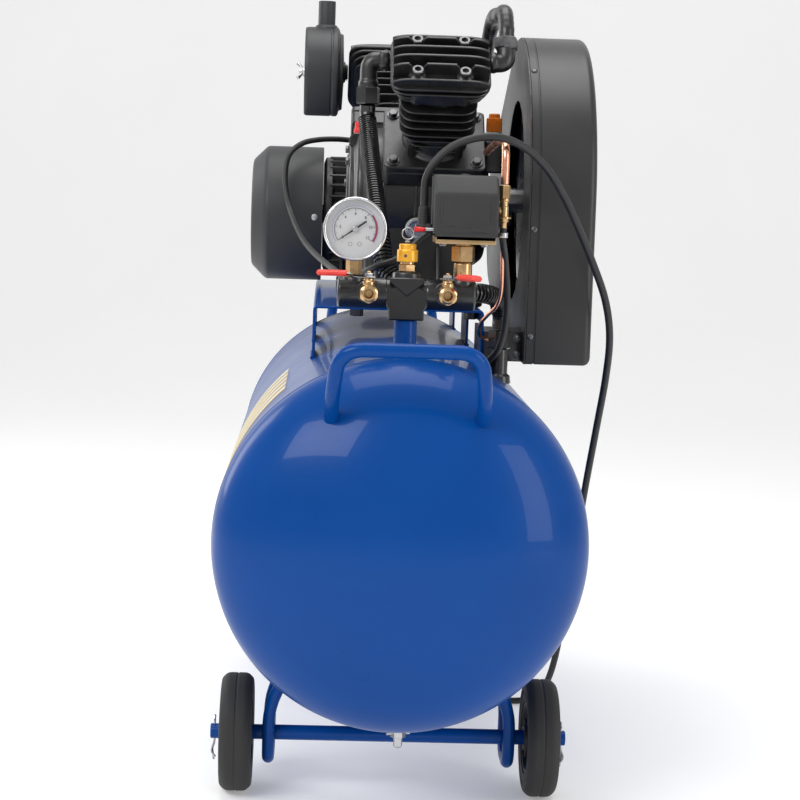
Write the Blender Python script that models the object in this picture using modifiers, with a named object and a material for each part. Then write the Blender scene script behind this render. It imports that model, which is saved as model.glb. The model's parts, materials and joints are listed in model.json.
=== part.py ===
"""Belt-driven air compressor: a V-twin pump and a motor on the deck of a wheeled air tank.

The tank lies along Y and is rolled on the two wheels at its front end (-Y). The pump, the motor
and the belt run across it, along X. All sizes are metres, and Z = 0 is the floor.
"""

import math

import bmesh
import bpy
from mathutils import Vector

GAP = 0.0003  # clearance between pieces that touch

# Air tank
TANK_RADIUS = 0.185
TANK_LENGTH = 0.800  # straight shell, rim to rim
TANK_HEAD = 0.0925  # depth of each dished end
TANK_WALL = 0.003
OUTLET_RADIUS = 0.006
TANK_Z = 0.296

# Running gear
WHEEL_RADIUS = 0.0625
WHEEL_WIDTH = 0.034
WHEEL_INNER_X = 0.145
WHEEL_Y = -0.237
AXLE_RADIUS = 0.008
AXLE_HALF = 0.190
LEG_RADIUS = 0.0065
LEG_X = 0.128
HUB_RADIUS = 0.038
TYRE_ROUND = 0.005
REAR_LEG_Y = 0.290
FOOT_HEIGHT = 0.010

# Handles
HANDLE_RADIUS = 0.007
HANDLE_HALF = 0.072
HANDLE_Y = 0.500
HANDLE_Z = 0.497

# Deck that carries the pump and the motor
DECK_TOP = 0.5145
DECK_SHEET = 0.003
DECK_HALF = 0.0935
DECK_FRONT = -0.150
DECK_REAR = 0.420

# Pump
CRANK_Z = 0.634
CASE_RADIUS = 0.078
CASE_WALL = 0.008
CASE_LEFT = -0.060
CASE_RIGHT = 0.100
BANK_ANGLE = math.radians(45)
BARREL_BASE = 0.085  # from the crank axis to the cylinder's seat, along the bank
BARREL_TOP = 0.180
FLANGE_THICK = 0.010
HEAD_HEIGHT = 0.045
CRANK_THROW = 0.022
FIN_PITCH = 0.0157
CRANK_RADIUS = 0.014
WEB_LEFT, WEB_RIGHT = 0.062, 0.074
SHAFT_END = 0.192
FRONT_BANK = {"x": 0.037, "bore": 0.0240, "fin": 0.084, "head_x": 0.108, "head_v": 0.084}
REAR_BANK = {"x": 0.007, "bore": 0.0300, "fin": 0.098, "head_x": 0.134, "head_v": 0.096}

# Pipes, air filter and oil cap on the pump
ELBOW_RADIUS = 0.0105
FINNED_RADIUS = 0.0110
CHECK_X, CHECK_Y = 0.1040, -0.235
FILTER_Y, FILTER_Z, FILTER_RADIUS = 0.150, 0.7815, 0.0535
CAP_X, CAP_Y = 0.1048, -0.050

# Motor
MOTOR_Y = 0.300
MOTOR_Z = 0.606
MOTOR_RADIUS = 0.075
MOTOR_LEFT = -0.0865
MOTOR_RIGHT = 0.095
FAN_COVER_RADIUS = 0.086
FAN_COVER_END = -0.1775
BOX_TOP = 0.722
MOTOR_WALL = 0.006
SHAFT_RADIUS = 0.012

# Belt drive and its guard
DRIVE_X = 0.168  # middle of the belt
FLYWHEEL_RADIUS = 0.150
PULLEY_RADIUS = 0.0375
RIM_WIDTH = 0.036
BELT_HALF = 0.005
GROOVE = 0.010
SPOKES = 6
GUARD_BACK = 0.1365
GUARD_OUTER = 0.2075
GUARD_FRONT_RADIUS = 0.186
GUARD_REAR_RADIUS = 0.086
GUARD_SHEET = 0.0016
GUARD_ROUNDING = 0.007
GUARD_BOTTOM = 0.460
GUARD_TURN_Y = 0.020  # where the level lower edge ends

# Air fittings on the manifold
MANIFOLD_Y = -0.337
MANIFOLD_Z = 0.5405
MANIFOLD_RADIUS = 0.0155
MANIFOLD_HALF = 0.069
MANIFOLD_BOSS_TOP = 0.5625
RISER_RADIUS = 0.0115
GAUGE_X = -0.053
GAUGE_Z = 0.604
GAUGE_RADIUS = 0.0315
GAUGE_DEPTH = 0.027
GAUGE_WALL = 0.0015
DIAL_DEPTH = 0.0085
NEEDLE_LENGTH = 0.021
NEEDLE_TAIL = 0.008
NEEDLE_ANGLE = math.radians(-145)  # at zero, measured from +X towards +Z
VALVE_X = 0.0385
VALVE_Z = 0.5425
VALVE_LENGTH = 0.042
VALVE_FLATS = 0.017
SAFETY_RADIUS = 0.0105
SWITCH_X = 0.0555
SWITCH_LOW = 0.5995
SWITCH_HIGH = 0.6602
SWITCH_HALF = 0.0315
SWITCH_FRONT = -0.372
SWITCH_REAR = -0.300
COPPER_RADIUS = 0.0040
GLAND_TOP = 0.628

# Cords
CORD_RADIUS = 0.004
LEAD_RADIUS = 0.0035
COIL_CENTRE = (0.045, 0.190)
COIL_RADIUS = 0.045
COIL_TURNS = 3
TURN_PITCH = 0.0085
PLUG_RADIUS = 0.018
PLUG_LENGTH = 0.038

# The origin is under the middle of the object's box: between the axle's left end and the guard.
CENTRE_X = (GUARD_OUTER - AXLE_HALF) / 2

for old in list(bpy.data.objects):
    bpy.data.objects.remove(old)

pieces = bpy.data.collections.new("air_compressor")
helpers = bpy.data.collections.new("cutters")
bpy.context.scene.collection.children.link(pieces)
bpy.context.scene.collection.children.link(helpers)

frame = bpy.data.objects.new("compressor_frame", None)
frame.location = (-CENTRE_X, 0, 0)
pieces.objects.link(frame)


def make_material(name, colour, roughness, metallic):
    material = bpy.data.materials.new(name)
    material.use_nodes = True
    shader = material.node_tree.nodes["Principled BSDF"]
    shader.inputs["Base Color"].default_value = (*colour, 1)
    shader.inputs["Roughness"].default_value = roughness
    shader.inputs["Metallic"].default_value = metallic
    return material


BLUE = make_material("blue_paint", (0.01, 0.09, 0.45), 0.25, 0.0)
BLACK = make_material("black_paint", (0.012, 0.012, 0.013), 0.35, 0.0)
IRON = make_material("cast_iron_black", (0.010, 0.010, 0.010), 0.55, 0.2)
RUBBER = make_material("black_rubber", (0.015, 0.015, 0.015), 0.7, 0.0)
PLASTIC = make_material("black_plastic", (0.02, 0.02, 0.02), 0.5, 0.0)
ZINC = make_material("zinc_steel", (0.55, 0.50, 0.38), 0.35, 0.9)
BRASS = make_material("brass", (0.62, 0.42, 0.16), 0.3, 1.0)
COPPER = make_material("copper", (0.72, 0.32, 0.20), 0.3, 1.0)
CHROME = make_material("chrome", (0.75, 0.75, 0.75), 0.1, 1.0)
STEEL = make_material("steel", (0.45, 0.45, 0.46), 0.35, 1.0)
ALUMINIUM = make_material("aluminium", (0.6, 0.6, 0.61), 0.4, 1.0)
RED = make_material("red_plastic", (0.75, 0.03, 0.02), 0.4, 0.0)
ORANGE = make_material("orange_plastic", (0.9, 0.25, 0.02), 0.4, 0.0)
YELLOW = make_material("yellow_anodised", (0.85, 0.42, 0.02), 0.35, 0.6)


def place(name, mesh, material, at, turn=(0, 0, 0), parent=None, helper=False):
    """A named object of this mesh, held by the frame or by another parent."""
    thing = bpy.data.objects.new(name, mesh)
    (helpers if helper else pieces).objects.link(thing)
    thing.parent = parent or frame
    thing.location = at
    thing.rotation_euler = turn
    if material:
        thing.data.materials.append(material)
    if helper:
        thing.hide_render = True
        thing.display_type = "WIRE"
    return thing


def smooth(thing):
    thing.data.shade_smooth()
    thing.data.set_sharp_from_angle(angle=math.radians(35))
    return thing


def block(name, low, high, material=None, bevel=0.0, turn=(0, 0, 0), parent=None, helper=False):
    """A box between two corners, with its edges rounded by bevel. A turned box turns on its middle."""
    size = Vector(high) - Vector(low)
    mesh = bpy.data.meshes.new(name)
    bm = bmesh.new()
    bmesh.ops.create_cube(bm, size=1)
    bmesh.ops.scale(bm, vec=size, verts=bm.verts)
    if bevel:
        bmesh.ops.bevel(bm, geom=bm.edges[:], offset=bevel, segments=2, profile=0.5, affect="EDGES")
    bm.to_mesh(mesh)
    bm.free()
    middle = (Vector(low) + Vector(high)) / 2
    return place(name, mesh, material, middle, turn, parent, helper)


AXIS_TURN = {"x": (0, math.pi / 2, 0), "y": (-math.pi / 2, 0, 0), "z": (0, 0, 0)}


def turned(name, profile, material=None, at=(0, 0, 0), axis="z", steps=20, parent=None,
           helper=False, ring=False):
    """The profile (radius, height) carried round the axis. It runs down the outer side, top to bottom."""
    mesh = bpy.data.meshes.new(name)
    bm = bmesh.new()
    points = [bm.verts.new((radius, 0, height)) for radius, height in profile]
    links = list(zip(points, points[1:]))
    if ring:
        links.append((points[-1], points[0]))
    for first, second in links:
        bm.edges.new((first, second))
    bm.to_mesh(mesh)
    bm.free()
    thing = place(name, mesh, material, at, AXIS_TURN[axis], parent, helper)
    screw = thing.modifiers.new("turn", "SCREW")
    screw.steps = steps
    screw.render_steps = steps
    screw.use_merge_vertices = True
    screw.merge_threshold = 0.00001
    screw.use_smooth_shade = True
    return thing


def bar(name, start, end, radius, material=None, sides=12, parent=None, helper=False):
    """A round bar, or with 6 sides a hexagon one, between two points."""
    start, end = Vector(start), Vector(end)
    along = end - start
    mesh = bpy.data.meshes.new(name)
    bm = bmesh.new()
    bmesh.ops.create_cone(bm, cap_ends=True, segments=sides, radius1=radius, radius2=radius,
                          depth=along.length)
    bm.to_mesh(mesh)
    bm.free()
    turn = along.to_track_quat("Z", "Y").to_euler()
    return place(name, mesh, material, (start + end) / 2, turn, parent, helper)


def cut(thing, cutter):
    modifier = thing.modifiers.new("cut_" + cutter.name, "BOOLEAN")
    modifier.operation = "DIFFERENCE"
    modifier.object = cutter


def join(thing, other):
    modifier = thing.modifiers.new("join_" + other.name, "BOOLEAN")
    modifier.operation = "UNION"
    modifier.object = other


def rounded(points, radius, steps=3):
    """The points' straight runs, with each corner rounded by an arc of about this radius."""
    route = [Vector(points[0])]
    for before, corner, after in zip(points, points[1:], points[2:]):
        before, corner, after = Vector(before), Vector(corner), Vector(after)
        inward = (before - corner).normalized()
        outward = (after - corner).normalized()
        reach = min(radius, 0.45 * (before - corner).length, 0.45 * (after - corner).length)
        for step in range(steps + 1):
            t = step / steps
            start, end = corner + inward * reach, corner + outward * reach
            route.append(start.lerp(corner, t).lerp(corner.lerp(end, t), t))
    route.append(Vector(points[-1]))
    return route


def smooth_route(points, spacing):
    """Points about this far apart on a smooth curve through the given points."""
    nodes = [Vector(point) for point in points]
    nodes = [2 * nodes[0] - nodes[1], *nodes, 2 * nodes[-1] - nodes[-2]]
    route = []
    for p0, p1, p2, p3 in zip(nodes, nodes[1:], nodes[2:], nodes[3:]):
        count = max(1, round((p2 - p1).length / spacing))
        for step in range(count):
            t = step / count
            route.append(0.5 * (2 * p1 + (p2 - p0) * t + (2 * p0 - 5 * p1 + 4 * p2 - p3) * t * t
                                + (3 * p1 - p0 - 3 * p2 + p3) * t ** 3))
    route.append(nodes[-2])
    return route


def pipe(name, route, radius, material, helper=False):
    """A round tube along the route, as a curve with filled caps."""
    curve = bpy.data.curves.new(name, "CURVE")
    curve.dimensions = "3D"
    curve.bevel_depth = radius
    curve.bevel_resolution = 2
    curve.use_fill_caps = True
    spline = curve.splines.new("POLY")
    spline.points.add(len(route) - 1)
    for point, position in zip(spline.points, route):
        point.co = (*position, 1)
    return place(name, curve, material, (0, 0, 0), helper=helper)


def to_mesh(thing):
    """The same tube as a closed mesh, which a Boolean can work on."""
    bpy.context.view_layer.update()
    mesh = bpy.data.meshes.new_from_object(thing.evaluated_get(bpy.context.evaluated_depsgraph_get()))
    bm = bmesh.new()
    bm.from_mesh(mesh)
    bmesh.ops.remove_doubles(bm, verts=bm.verts, dist=0.00001)
    bmesh.ops.recalc_face_normals(bm, faces=bm.faces)
    bm.to_mesh(mesh)
    bm.free()
    name, hidden = thing.name, thing.hide_render
    mesh.materials.clear()
    material = thing.data.materials[0] if thing.data.materials else None
    bpy.data.objects.remove(thing)
    return place(name, mesh, material, (0, 0, 0), helper=hidden)


def dished(radius, half, depth, steps=5):
    """Half-ellipse ends on a straight shell, as (radius, height) from the top pole to the bottom one."""
    top = [(radius * math.sin(a), half + depth * math.cos(a))
           for a in (math.pi / 2 * step / steps for step in range(steps + 1))]
    return top + [(r, -h) for r, h in reversed(top)]


# Tank: a hollow vessel, open where the outlet and the drain pass through its wall
tank = turned("tank", dished(TANK_RADIUS, TANK_LENGTH / 2, TANK_HEAD), BLUE, (0, 0, TANK_Z), "y", 36)
tank_inside = turned("tank_inside", dished(TANK_RADIUS - TANK_WALL, TANK_LENGTH / 2,
                                           TANK_HEAD - TANK_WALL, 4),
                     None, (0, 0, TANK_Z), "y", 24, helper=True)
cut(tank, tank_inside)
TANK_TOP = TANK_Z + TANK_RADIUS
cut(tank, bar("outlet_hole", (0, MANIFOLD_Y, TANK_TOP - 0.05), (0, MANIFOLD_Y, TANK_TOP + 0.02),
              OUTLET_RADIUS, helper=True))
tank_outside = turned("tank_outside", dished(TANK_RADIUS + GAP, TANK_LENGTH / 2, TANK_HEAD + GAP),
                      None, (0, 0, TANK_Z), "y", 36, helper=True)


def handle(name, side):
    """A bent bar whose two feet are welded on a dished end. side is -1 at the front and 1 at the rear."""
    foot = (HANDLE_HALF, side * (TANK_LENGTH / 2 + 0.035), HANDLE_Z - 0.085)
    shoulder = (HANDLE_HALF, side * (HANDLE_Y - 0.020), HANDLE_Z - 0.045)
    corner = (HANDLE_HALF - 0.006, side * HANDLE_Y, HANDLE_Z)
    right = [foot, shoulder, corner]
    left = [(-x, y, z) for x, y, z in reversed(right)]
    thing = to_mesh(pipe(name, rounded(right + left, 0.024), HANDLE_RADIUS, BLUE))
    cut(thing, tank_outside)
    return smooth(thing)


handle("front_handle", -1)
handle("rear_handle", 1)


def leg(name, x, near_y, far_y, bottom):
    """A U-shaped tube: two limbs welded under the tank and one round bend near the floor."""
    inner = math.copysign(abs(x) - 0.033, x)
    knee = TANK_Z - TANK_RADIUS - 0.015
    limb = [(inner, near_y, knee + 0.060), (x, near_y, knee), (x, near_y, bottom + LEG_RADIUS)]
    back = [(px, far_y, pz) for px, py, pz in reversed(limb)]
    thing = to_mesh(pipe(name, rounded(limb + back, 0.022), LEG_RADIUS, BLUE))
    cut(thing, tank_outside)
    return smooth(thing)


front_limb = WHEEL_Y - AXLE_RADIUS - LEG_RADIUS - GAP
for side, x in (("left", -LEG_X), ("right", LEG_X)):
    leg("front_leg_" + side, x, front_limb, front_limb + 0.060, 0.028)
    leg("rear_leg_" + side, x, REAR_LEG_Y - 0.030, REAR_LEG_Y + 0.030, FOOT_HEIGHT + GAP)
    block("rubber_foot_" + side, (x - 0.014, REAR_LEG_Y - 0.020, 0),
          (x + 0.014, REAR_LEG_Y + 0.020, FOOT_HEIGHT), RUBBER, 0.002)

bar("axle", (-AXLE_HALF, WHEEL_Y, WHEEL_RADIUS), (AXLE_HALF, WHEEL_Y, WHEEL_RADIUS), AXLE_RADIUS,
    BLUE, 20)

for side, sign in (("left", -1), ("right", 1)):
    centre = (sign * (WHEEL_INNER_X + WHEEL_WIDTH / 2), WHEEL_Y, WHEEL_RADIUS)
    half = WHEEL_WIDTH / 2
    bore = AXLE_RADIUS + GAP
    turned("wheel_hub_" + side, [
        (0.014, half), (0.014, 0.005), (HUB_RADIUS - 0.008, 0.004), (HUB_RADIUS - 0.004, half - 0.002),
        (HUB_RADIUS, half - 0.002), (HUB_RADIUS, 0.002 - half), (HUB_RADIUS - 0.004, 0.002 - half),
        (HUB_RADIUS - 0.008, -0.004), (0.014, -0.005), (0.014, -half), (bore, -half), (bore, half),
    ], PLASTIC, centre, "x", 16, ring=True)
    turned("wheel_tyre_" + side, [
        (HUB_RADIUS + GAP, half - 0.001), (WHEEL_RADIUS - TYRE_ROUND, half),
        (WHEEL_RADIUS, half - TYRE_ROUND), (WHEEL_RADIUS, TYRE_ROUND - half),
        (WHEEL_RADIUS - TYRE_ROUND, -half), (HUB_RADIUS + GAP, 0.001 - half),
    ], RUBBER, centre, "x", 28, ring=True)

# Deck: a folded sheet with two side flanges, each cut into legs that are welded to the tank
deck = block("deck", (-DECK_HALF, DECK_FRONT, TANK_Z + 0.10), (DECK_HALF, DECK_REAR, DECK_TOP), BLUE)
cut(deck, block("deck_channel", (DECK_SHEET - DECK_HALF, DECK_FRONT - 0.01, TANK_Z + 0.09),
                (DECK_HALF - DECK_SHEET, DECK_REAR + 0.01, DECK_TOP - DECK_SHEET), helper=True))
for index, (low, high) in enumerate(((-0.055, 0.085), (0.175, 0.345))):
    cut(deck, block("deck_window_" + str(index), (-DECK_HALF - 0.01, low, TANK_Z + 0.09),
                    (DECK_HALF + 0.01, high, DECK_TOP - 0.014), helper=True))
cut(deck, tank_outside)

# Riser and manifold
riser = bar("riser_pipe", (0, MANIFOLD_Y, TANK_TOP - 0.004), (0, MANIFOLD_Y, 0.515 - GAP),
            RISER_RADIUS, BLUE, 20)
cut(riser, tank_outside)
manifold = turned("manifold", [
    (0, MANIFOLD_HALF), (MANIFOLD_RADIUS - 0.0015, MANIFOLD_HALF),
    (MANIFOLD_RADIUS, MANIFOLD_HALF - 0.0015), (MANIFOLD_RADIUS, 0.0015 - MANIFOLD_HALF),
    (MANIFOLD_RADIUS - 0.0015, -MANIFOLD_HALF), (0, -MANIFOLD_HALF),
], BLACK, (0, MANIFOLD_Y, MANIFOLD_Z), "x", 20)
join(manifold, block("manifold_block", (-0.0175, MANIFOLD_Y - 0.014, 0.515),
                     (0.0175, MANIFOLD_Y + 0.014, MANIFOLD_Z), helper=True))
join(manifold, bar("manifold_boss", (0, MANIFOLD_Y, MANIFOLD_Z - 0.003),
                   (0, MANIFOLD_Y, MANIFOLD_BOSS_TOP), 0.0150, sides=20, helper=True))
MANIFOLD_TOP = MANIFOLD_Z + MANIFOLD_RADIUS

# Safety valve with its pull ring
SAFETY_BASE = MANIFOLD_BOSS_TOP + GAP
SAFETY_TOP = SAFETY_BASE + 0.0310
RING_RADIUS = 0.0058
turned("safety_valve", [
    (0, SAFETY_TOP), (0.0018, SAFETY_TOP), (0.0018, SAFETY_BASE + 0.028),
    (0.0085, SAFETY_BASE + 0.0275), (0.0085, SAFETY_BASE + 0.0225),
    (SAFETY_RADIUS, SAFETY_BASE + 0.0220), (SAFETY_RADIUS, SAFETY_BASE + 0.010),
    (0.0090, SAFETY_BASE + 0.0095), (0.0090, SAFETY_BASE), (0, SAFETY_BASE),
], YELLOW, (0, MANIFOLD_Y, 0), "z", 14)
bpy.ops.mesh.primitive_torus_add(major_radius=RING_RADIUS, minor_radius=0.0007, major_segments=16,
                                 minor_segments=4)
ring_shape = bpy.context.object.data
bpy.data.objects.remove(bpy.context.object)
place("safety_ring", ring_shape, STEEL, (0.0, MANIFOLD_Y, SAFETY_TOP + RING_RADIUS + 0.0010),
      (math.pi / 2, 0, 0))

# Pressure gauge: a cup-shaped case on a hexagon stem, with a needle inside
gauge_front = MANIFOLD_Y - GAUGE_DEPTH + 0.006
gauge = turned("gauge_case", [
    (0, GAUGE_DEPTH), (GAUGE_RADIUS - 0.001, GAUGE_DEPTH), (GAUGE_RADIUS, GAUGE_DEPTH - 0.001),
    (GAUGE_RADIUS, 0.001), (GAUGE_RADIUS - 0.001, 0), (GAUGE_RADIUS - 2 * GAUGE_WALL, 0),
    (GAUGE_RADIUS - 2 * GAUGE_WALL, DIAL_DEPTH), (0, DIAL_DEPTH),
], CHROME, (GAUGE_X, gauge_front, GAUGE_Z), "y", 24)
join(gauge, bar("gauge_stem", (GAUGE_X, MANIFOLD_Y, MANIFOLD_TOP + GAP),
                (GAUGE_X, MANIFOLD_Y, GAUGE_Z - GAUGE_RADIUS + 0.004), 0.0075, sides=6, helper=True))
needle_y = gauge_front + DIAL_DEPTH - 0.003
needle = bar("gauge_needle", (GAUGE_X, needle_y - 0.0010, GAUGE_Z),
             (GAUGE_X, needle_y + 0.0020, GAUGE_Z), 0.003, BLACK, 12)
needle_middle = (NEEDLE_LENGTH - NEEDLE_TAIL) / 2
needle_half = (NEEDLE_LENGTH + NEEDLE_TAIL) / 2
blade_x = GAUGE_X + needle_middle * math.cos(NEEDLE_ANGLE)
blade_z = GAUGE_Z + needle_middle * math.sin(NEEDLE_ANGLE)
join(needle, block("needle_blade", (blade_x - needle_half, needle_y - 0.0004, blade_z - 0.0008),
                   (blade_x + needle_half, needle_y + 0.0004, blade_z + 0.0008),
                   turn=(0, -NEEDLE_ANGLE, 0), helper=True))

# Outlet valves: a body with a hexagon nose and a bore, and a cranked lever on its stem
stem_y = MANIFOLD_Y - MANIFOLD_RADIUS - 0.021
STEM_TOP = VALVE_Z + 0.0145
HEX = 1 / math.cos(math.radians(30))
for side, sign in (("left", -1), ("right", 1)):
    x = sign * VALVE_X
    back_y = MANIFOLD_Y - MANIFOLD_RADIUS - GAP
    valve = bar("ball_valve_" + side, (x, back_y, VALVE_Z), (x, back_y - 0.030, VALVE_Z), 0.0078,
                BRASS, 16)
    join(valve, bar("valve_nose_" + side, (x, back_y - 0.028, VALVE_Z),
                    (x, back_y - VALVE_LENGTH, VALVE_Z), VALVE_FLATS / 2 * HEX, sides=6, helper=True))
    join(valve, bar("valve_stem_" + side, (x, stem_y, VALVE_Z), (x, stem_y, STEM_TOP), 0.004,
                    sides=12, helper=True))
    cut(valve, bar("valve_bore_" + side, (x, back_y - VALVE_LENGTH - 0.01, VALVE_Z),
                   (x, back_y - 0.020, VALVE_Z), 0.0035, sides=12, helper=True))
    # The lever's own X axis runs along its grip; the left grip points to -X, the right one forward and to +X
    lever_turn = (0, 0, math.pi if sign < 0 else math.radians(-58))
    pivot = bpy.data.objects.new("valve_pivot_" + side, None)
    pivot.parent = frame
    pivot.location = (x, stem_y, STEM_TOP + GAP)
    pivot.rotation_euler = lever_turn
    pieces.objects.link(pivot)
    lever = block("valve_lever_" + side, (-0.006, -0.0055, 0), (0.014, 0.0055, 0.002), RED,
                  parent=pivot)
    join(lever, block("lever_crank_" + side, (0.011, -0.0045, -0.0002), (0.022, 0.0045, 0.0018),
                      turn=(0, math.radians(-25), 0), parent=pivot, helper=True))
    join(lever, block("lever_grip_" + side, (0.019, -0.0055, 0.001), (0.052, 0.0055, 0.0065), None,
                      0.002, parent=pivot, helper=True))

# Pressure switch on its hexagon fitting
fitting = bar("switch_fitting", (SWITCH_X, MANIFOLD_Y, MANIFOLD_TOP + GAP),
              (SWITCH_X, MANIFOLD_Y, 0.5735), 0.0085, BRASS, 12)
join(fitting, bar("switch_hexagon", (SWITCH_X, MANIFOLD_Y, 0.5725),
                  (SWITCH_X, MANIFOLD_Y, 0.5920), 0.0105 * HEX, sides=6, helper=True))
switch_base = block("switch_base", (SWITCH_X - SWITCH_HALF + 0.002, SWITCH_FRONT + 0.002, 0.5923),
                    (SWITCH_X + SWITCH_HALF - 0.002, SWITCH_REAR - 0.002, SWITCH_LOW - GAP), ZINC)
switch_left = SWITCH_X - SWITCH_HALF
cover = block("switch_cover", (switch_left, SWITCH_FRONT, SWITCH_LOW),
              (SWITCH_X + SWITCH_HALF, SWITCH_REAR, SWITCH_HIGH), PLASTIC)
cut(cover, block("cover_slope", (switch_left - 0.01, SWITCH_FRONT - 0.030, SWITCH_HIGH - 0.014),
                 (SWITCH_X + SWITCH_HALF + 0.01, SWITCH_FRONT + 0.014, SWITCH_HIGH + 0.030),
                 turn=(math.radians(-45), 0, 0), helper=True))
cut(cover, block("cover_hollow", (switch_left + 0.003, SWITCH_FRONT + 0.003, SWITCH_LOW - 0.01),
                 (SWITCH_X + SWITCH_HALF - 0.003, SWITCH_REAR - 0.003, SWITCH_HIGH - 0.022),
                 helper=True))
# The cord gland is a moulded foot on the cover's left side, with an upright sleeve for the cord
gland_x = switch_left - 0.0085
gland_y = -0.325
gland = block("cord_gland", (gland_x - 0.0065, gland_y - 0.008, SWITCH_LOW + 0.002),
              (switch_left - GAP, gland_y + 0.008, SWITCH_LOW + 0.012), PLASTIC)
join(gland, bar("gland_sleeve", (gland_x, gland_y, SWITCH_LOW + 0.006), (gland_x, gland_y, GLAND_TOP),
                CORD_RADIUS + 0.002, sides=16, helper=True))
knob_y = SWITCH_FRONT + 0.012
knob = bar("switch_lever", (switch_left - GAP, knob_y, 0.6058), (switch_left - 0.010, knob_y, 0.6058),
           0.0018, RED, 10)
join(knob, block("lever_knob", (switch_left - 0.019, knob_y - 0.004, 0.6028),
                 (switch_left - 0.008, knob_y + 0.004, 0.6088), None, 0.0012, helper=True))

# Unloader valve on the switch's right side, its copper tube and the rubber hose
unloader_x = SWITCH_X + SWITCH_HALF + 0.0085
UNLOADER_Y = -0.325
unloader = bar("unloader_valve", (unloader_x, UNLOADER_Y, 0.6080), (unloader_x, UNLOADER_Y, 0.6385),
               0.0046, BRASS, 12)
join(unloader, bar("unloader_nut", (unloader_x, UNLOADER_Y, 0.6375), (unloader_x, UNLOADER_Y, 0.6520),
                   0.0065, sides=6, helper=True))
join(unloader, bar("unloader_collar", (unloader_x, UNLOADER_Y, 0.6180),
                   (unloader_x, UNLOADER_Y, 0.6200), 0.0080, sides=16, helper=True))
join(unloader, bar("unloader_arm", (SWITCH_X + SWITCH_HALF + GAP, UNLOADER_Y, 0.6260),
                   (unloader_x, UNLOADER_Y, 0.6260), 0.0035, sides=10, helper=True))
pipe("unloader_tube", rounded([
    (unloader_x, UNLOADER_Y, 0.6523), (unloader_x, UNLOADER_Y, 0.6930),
    (unloader_x - 0.002, -0.250, 0.6960), (0.0890, -0.160, 0.6860)], 0.022, 3), COPPER_RADIUS, COPPER)

# Pump: a drum-shaped crankcase with two seats, a foot and a bearing bore
CASE_MIDDLE = (CASE_RIGHT + CASE_LEFT) / 2
case = turned("crankcase", [
    (0, CASE_RIGHT), (CASE_RADIUS - 0.010, CASE_RIGHT), (CASE_RADIUS, CASE_RIGHT - 0.010),
    (CASE_RADIUS, CASE_LEFT + 0.018), (CASE_RADIUS - 0.006, CASE_LEFT + 0.006),
    (CASE_RADIUS - 0.018, CASE_LEFT), (0, CASE_LEFT),
], IRON, (0, 0, CRANK_Z), "x", 24)
CASE_FOOT = DECK_TOP + GAP
join(case, block("case_foot", (CASE_LEFT + 0.010, -0.105, CASE_FOOT),
                 (CASE_RIGHT - 0.005, 0.105, CASE_FOOT + 0.014), helper=True))
join(case, block("case_neck", (CASE_LEFT + 0.022, -0.070, CASE_FOOT + 0.010),
                 (CASE_RIGHT - 0.015, 0.070, CRANK_Z - 0.030), helper=True))

banks = []
for name, bank, sign in (("front", FRONT_BANK, 1), ("rear", REAR_BANK, -1)):
    axis = bpy.data.objects.new(name + "_bank", None)
    axis.parent = frame
    axis.location = (bank["x"], 0, CRANK_Z)
    axis.rotation_euler = (sign * BANK_ANGLE, 0, 0)
    pieces.objects.link(axis)
    banks.append((name, bank, sign, axis))
    half_x, half_v = bank["bore"] + 0.033, bank["bore"] + 0.023
    join(case, block(name + "_seat", (-half_x, -half_v, 0.040), (half_x, half_v, BARREL_BASE - GAP),
                     parent=axis, helper=True))
cut(case, bar("case_hollow", (CASE_LEFT + CASE_WALL, 0, CRANK_Z), (CASE_RIGHT - CASE_WALL, 0, CRANK_Z),
              CASE_RADIUS - CASE_WALL, sides=16, helper=True))
cut(case, bar("bearing_bore", (CASE_MIDDLE, 0, CRANK_Z), (CASE_RIGHT + 0.01, 0, CRANK_Z),
              CRANK_RADIUS + GAP, sides=20, helper=True))

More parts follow.
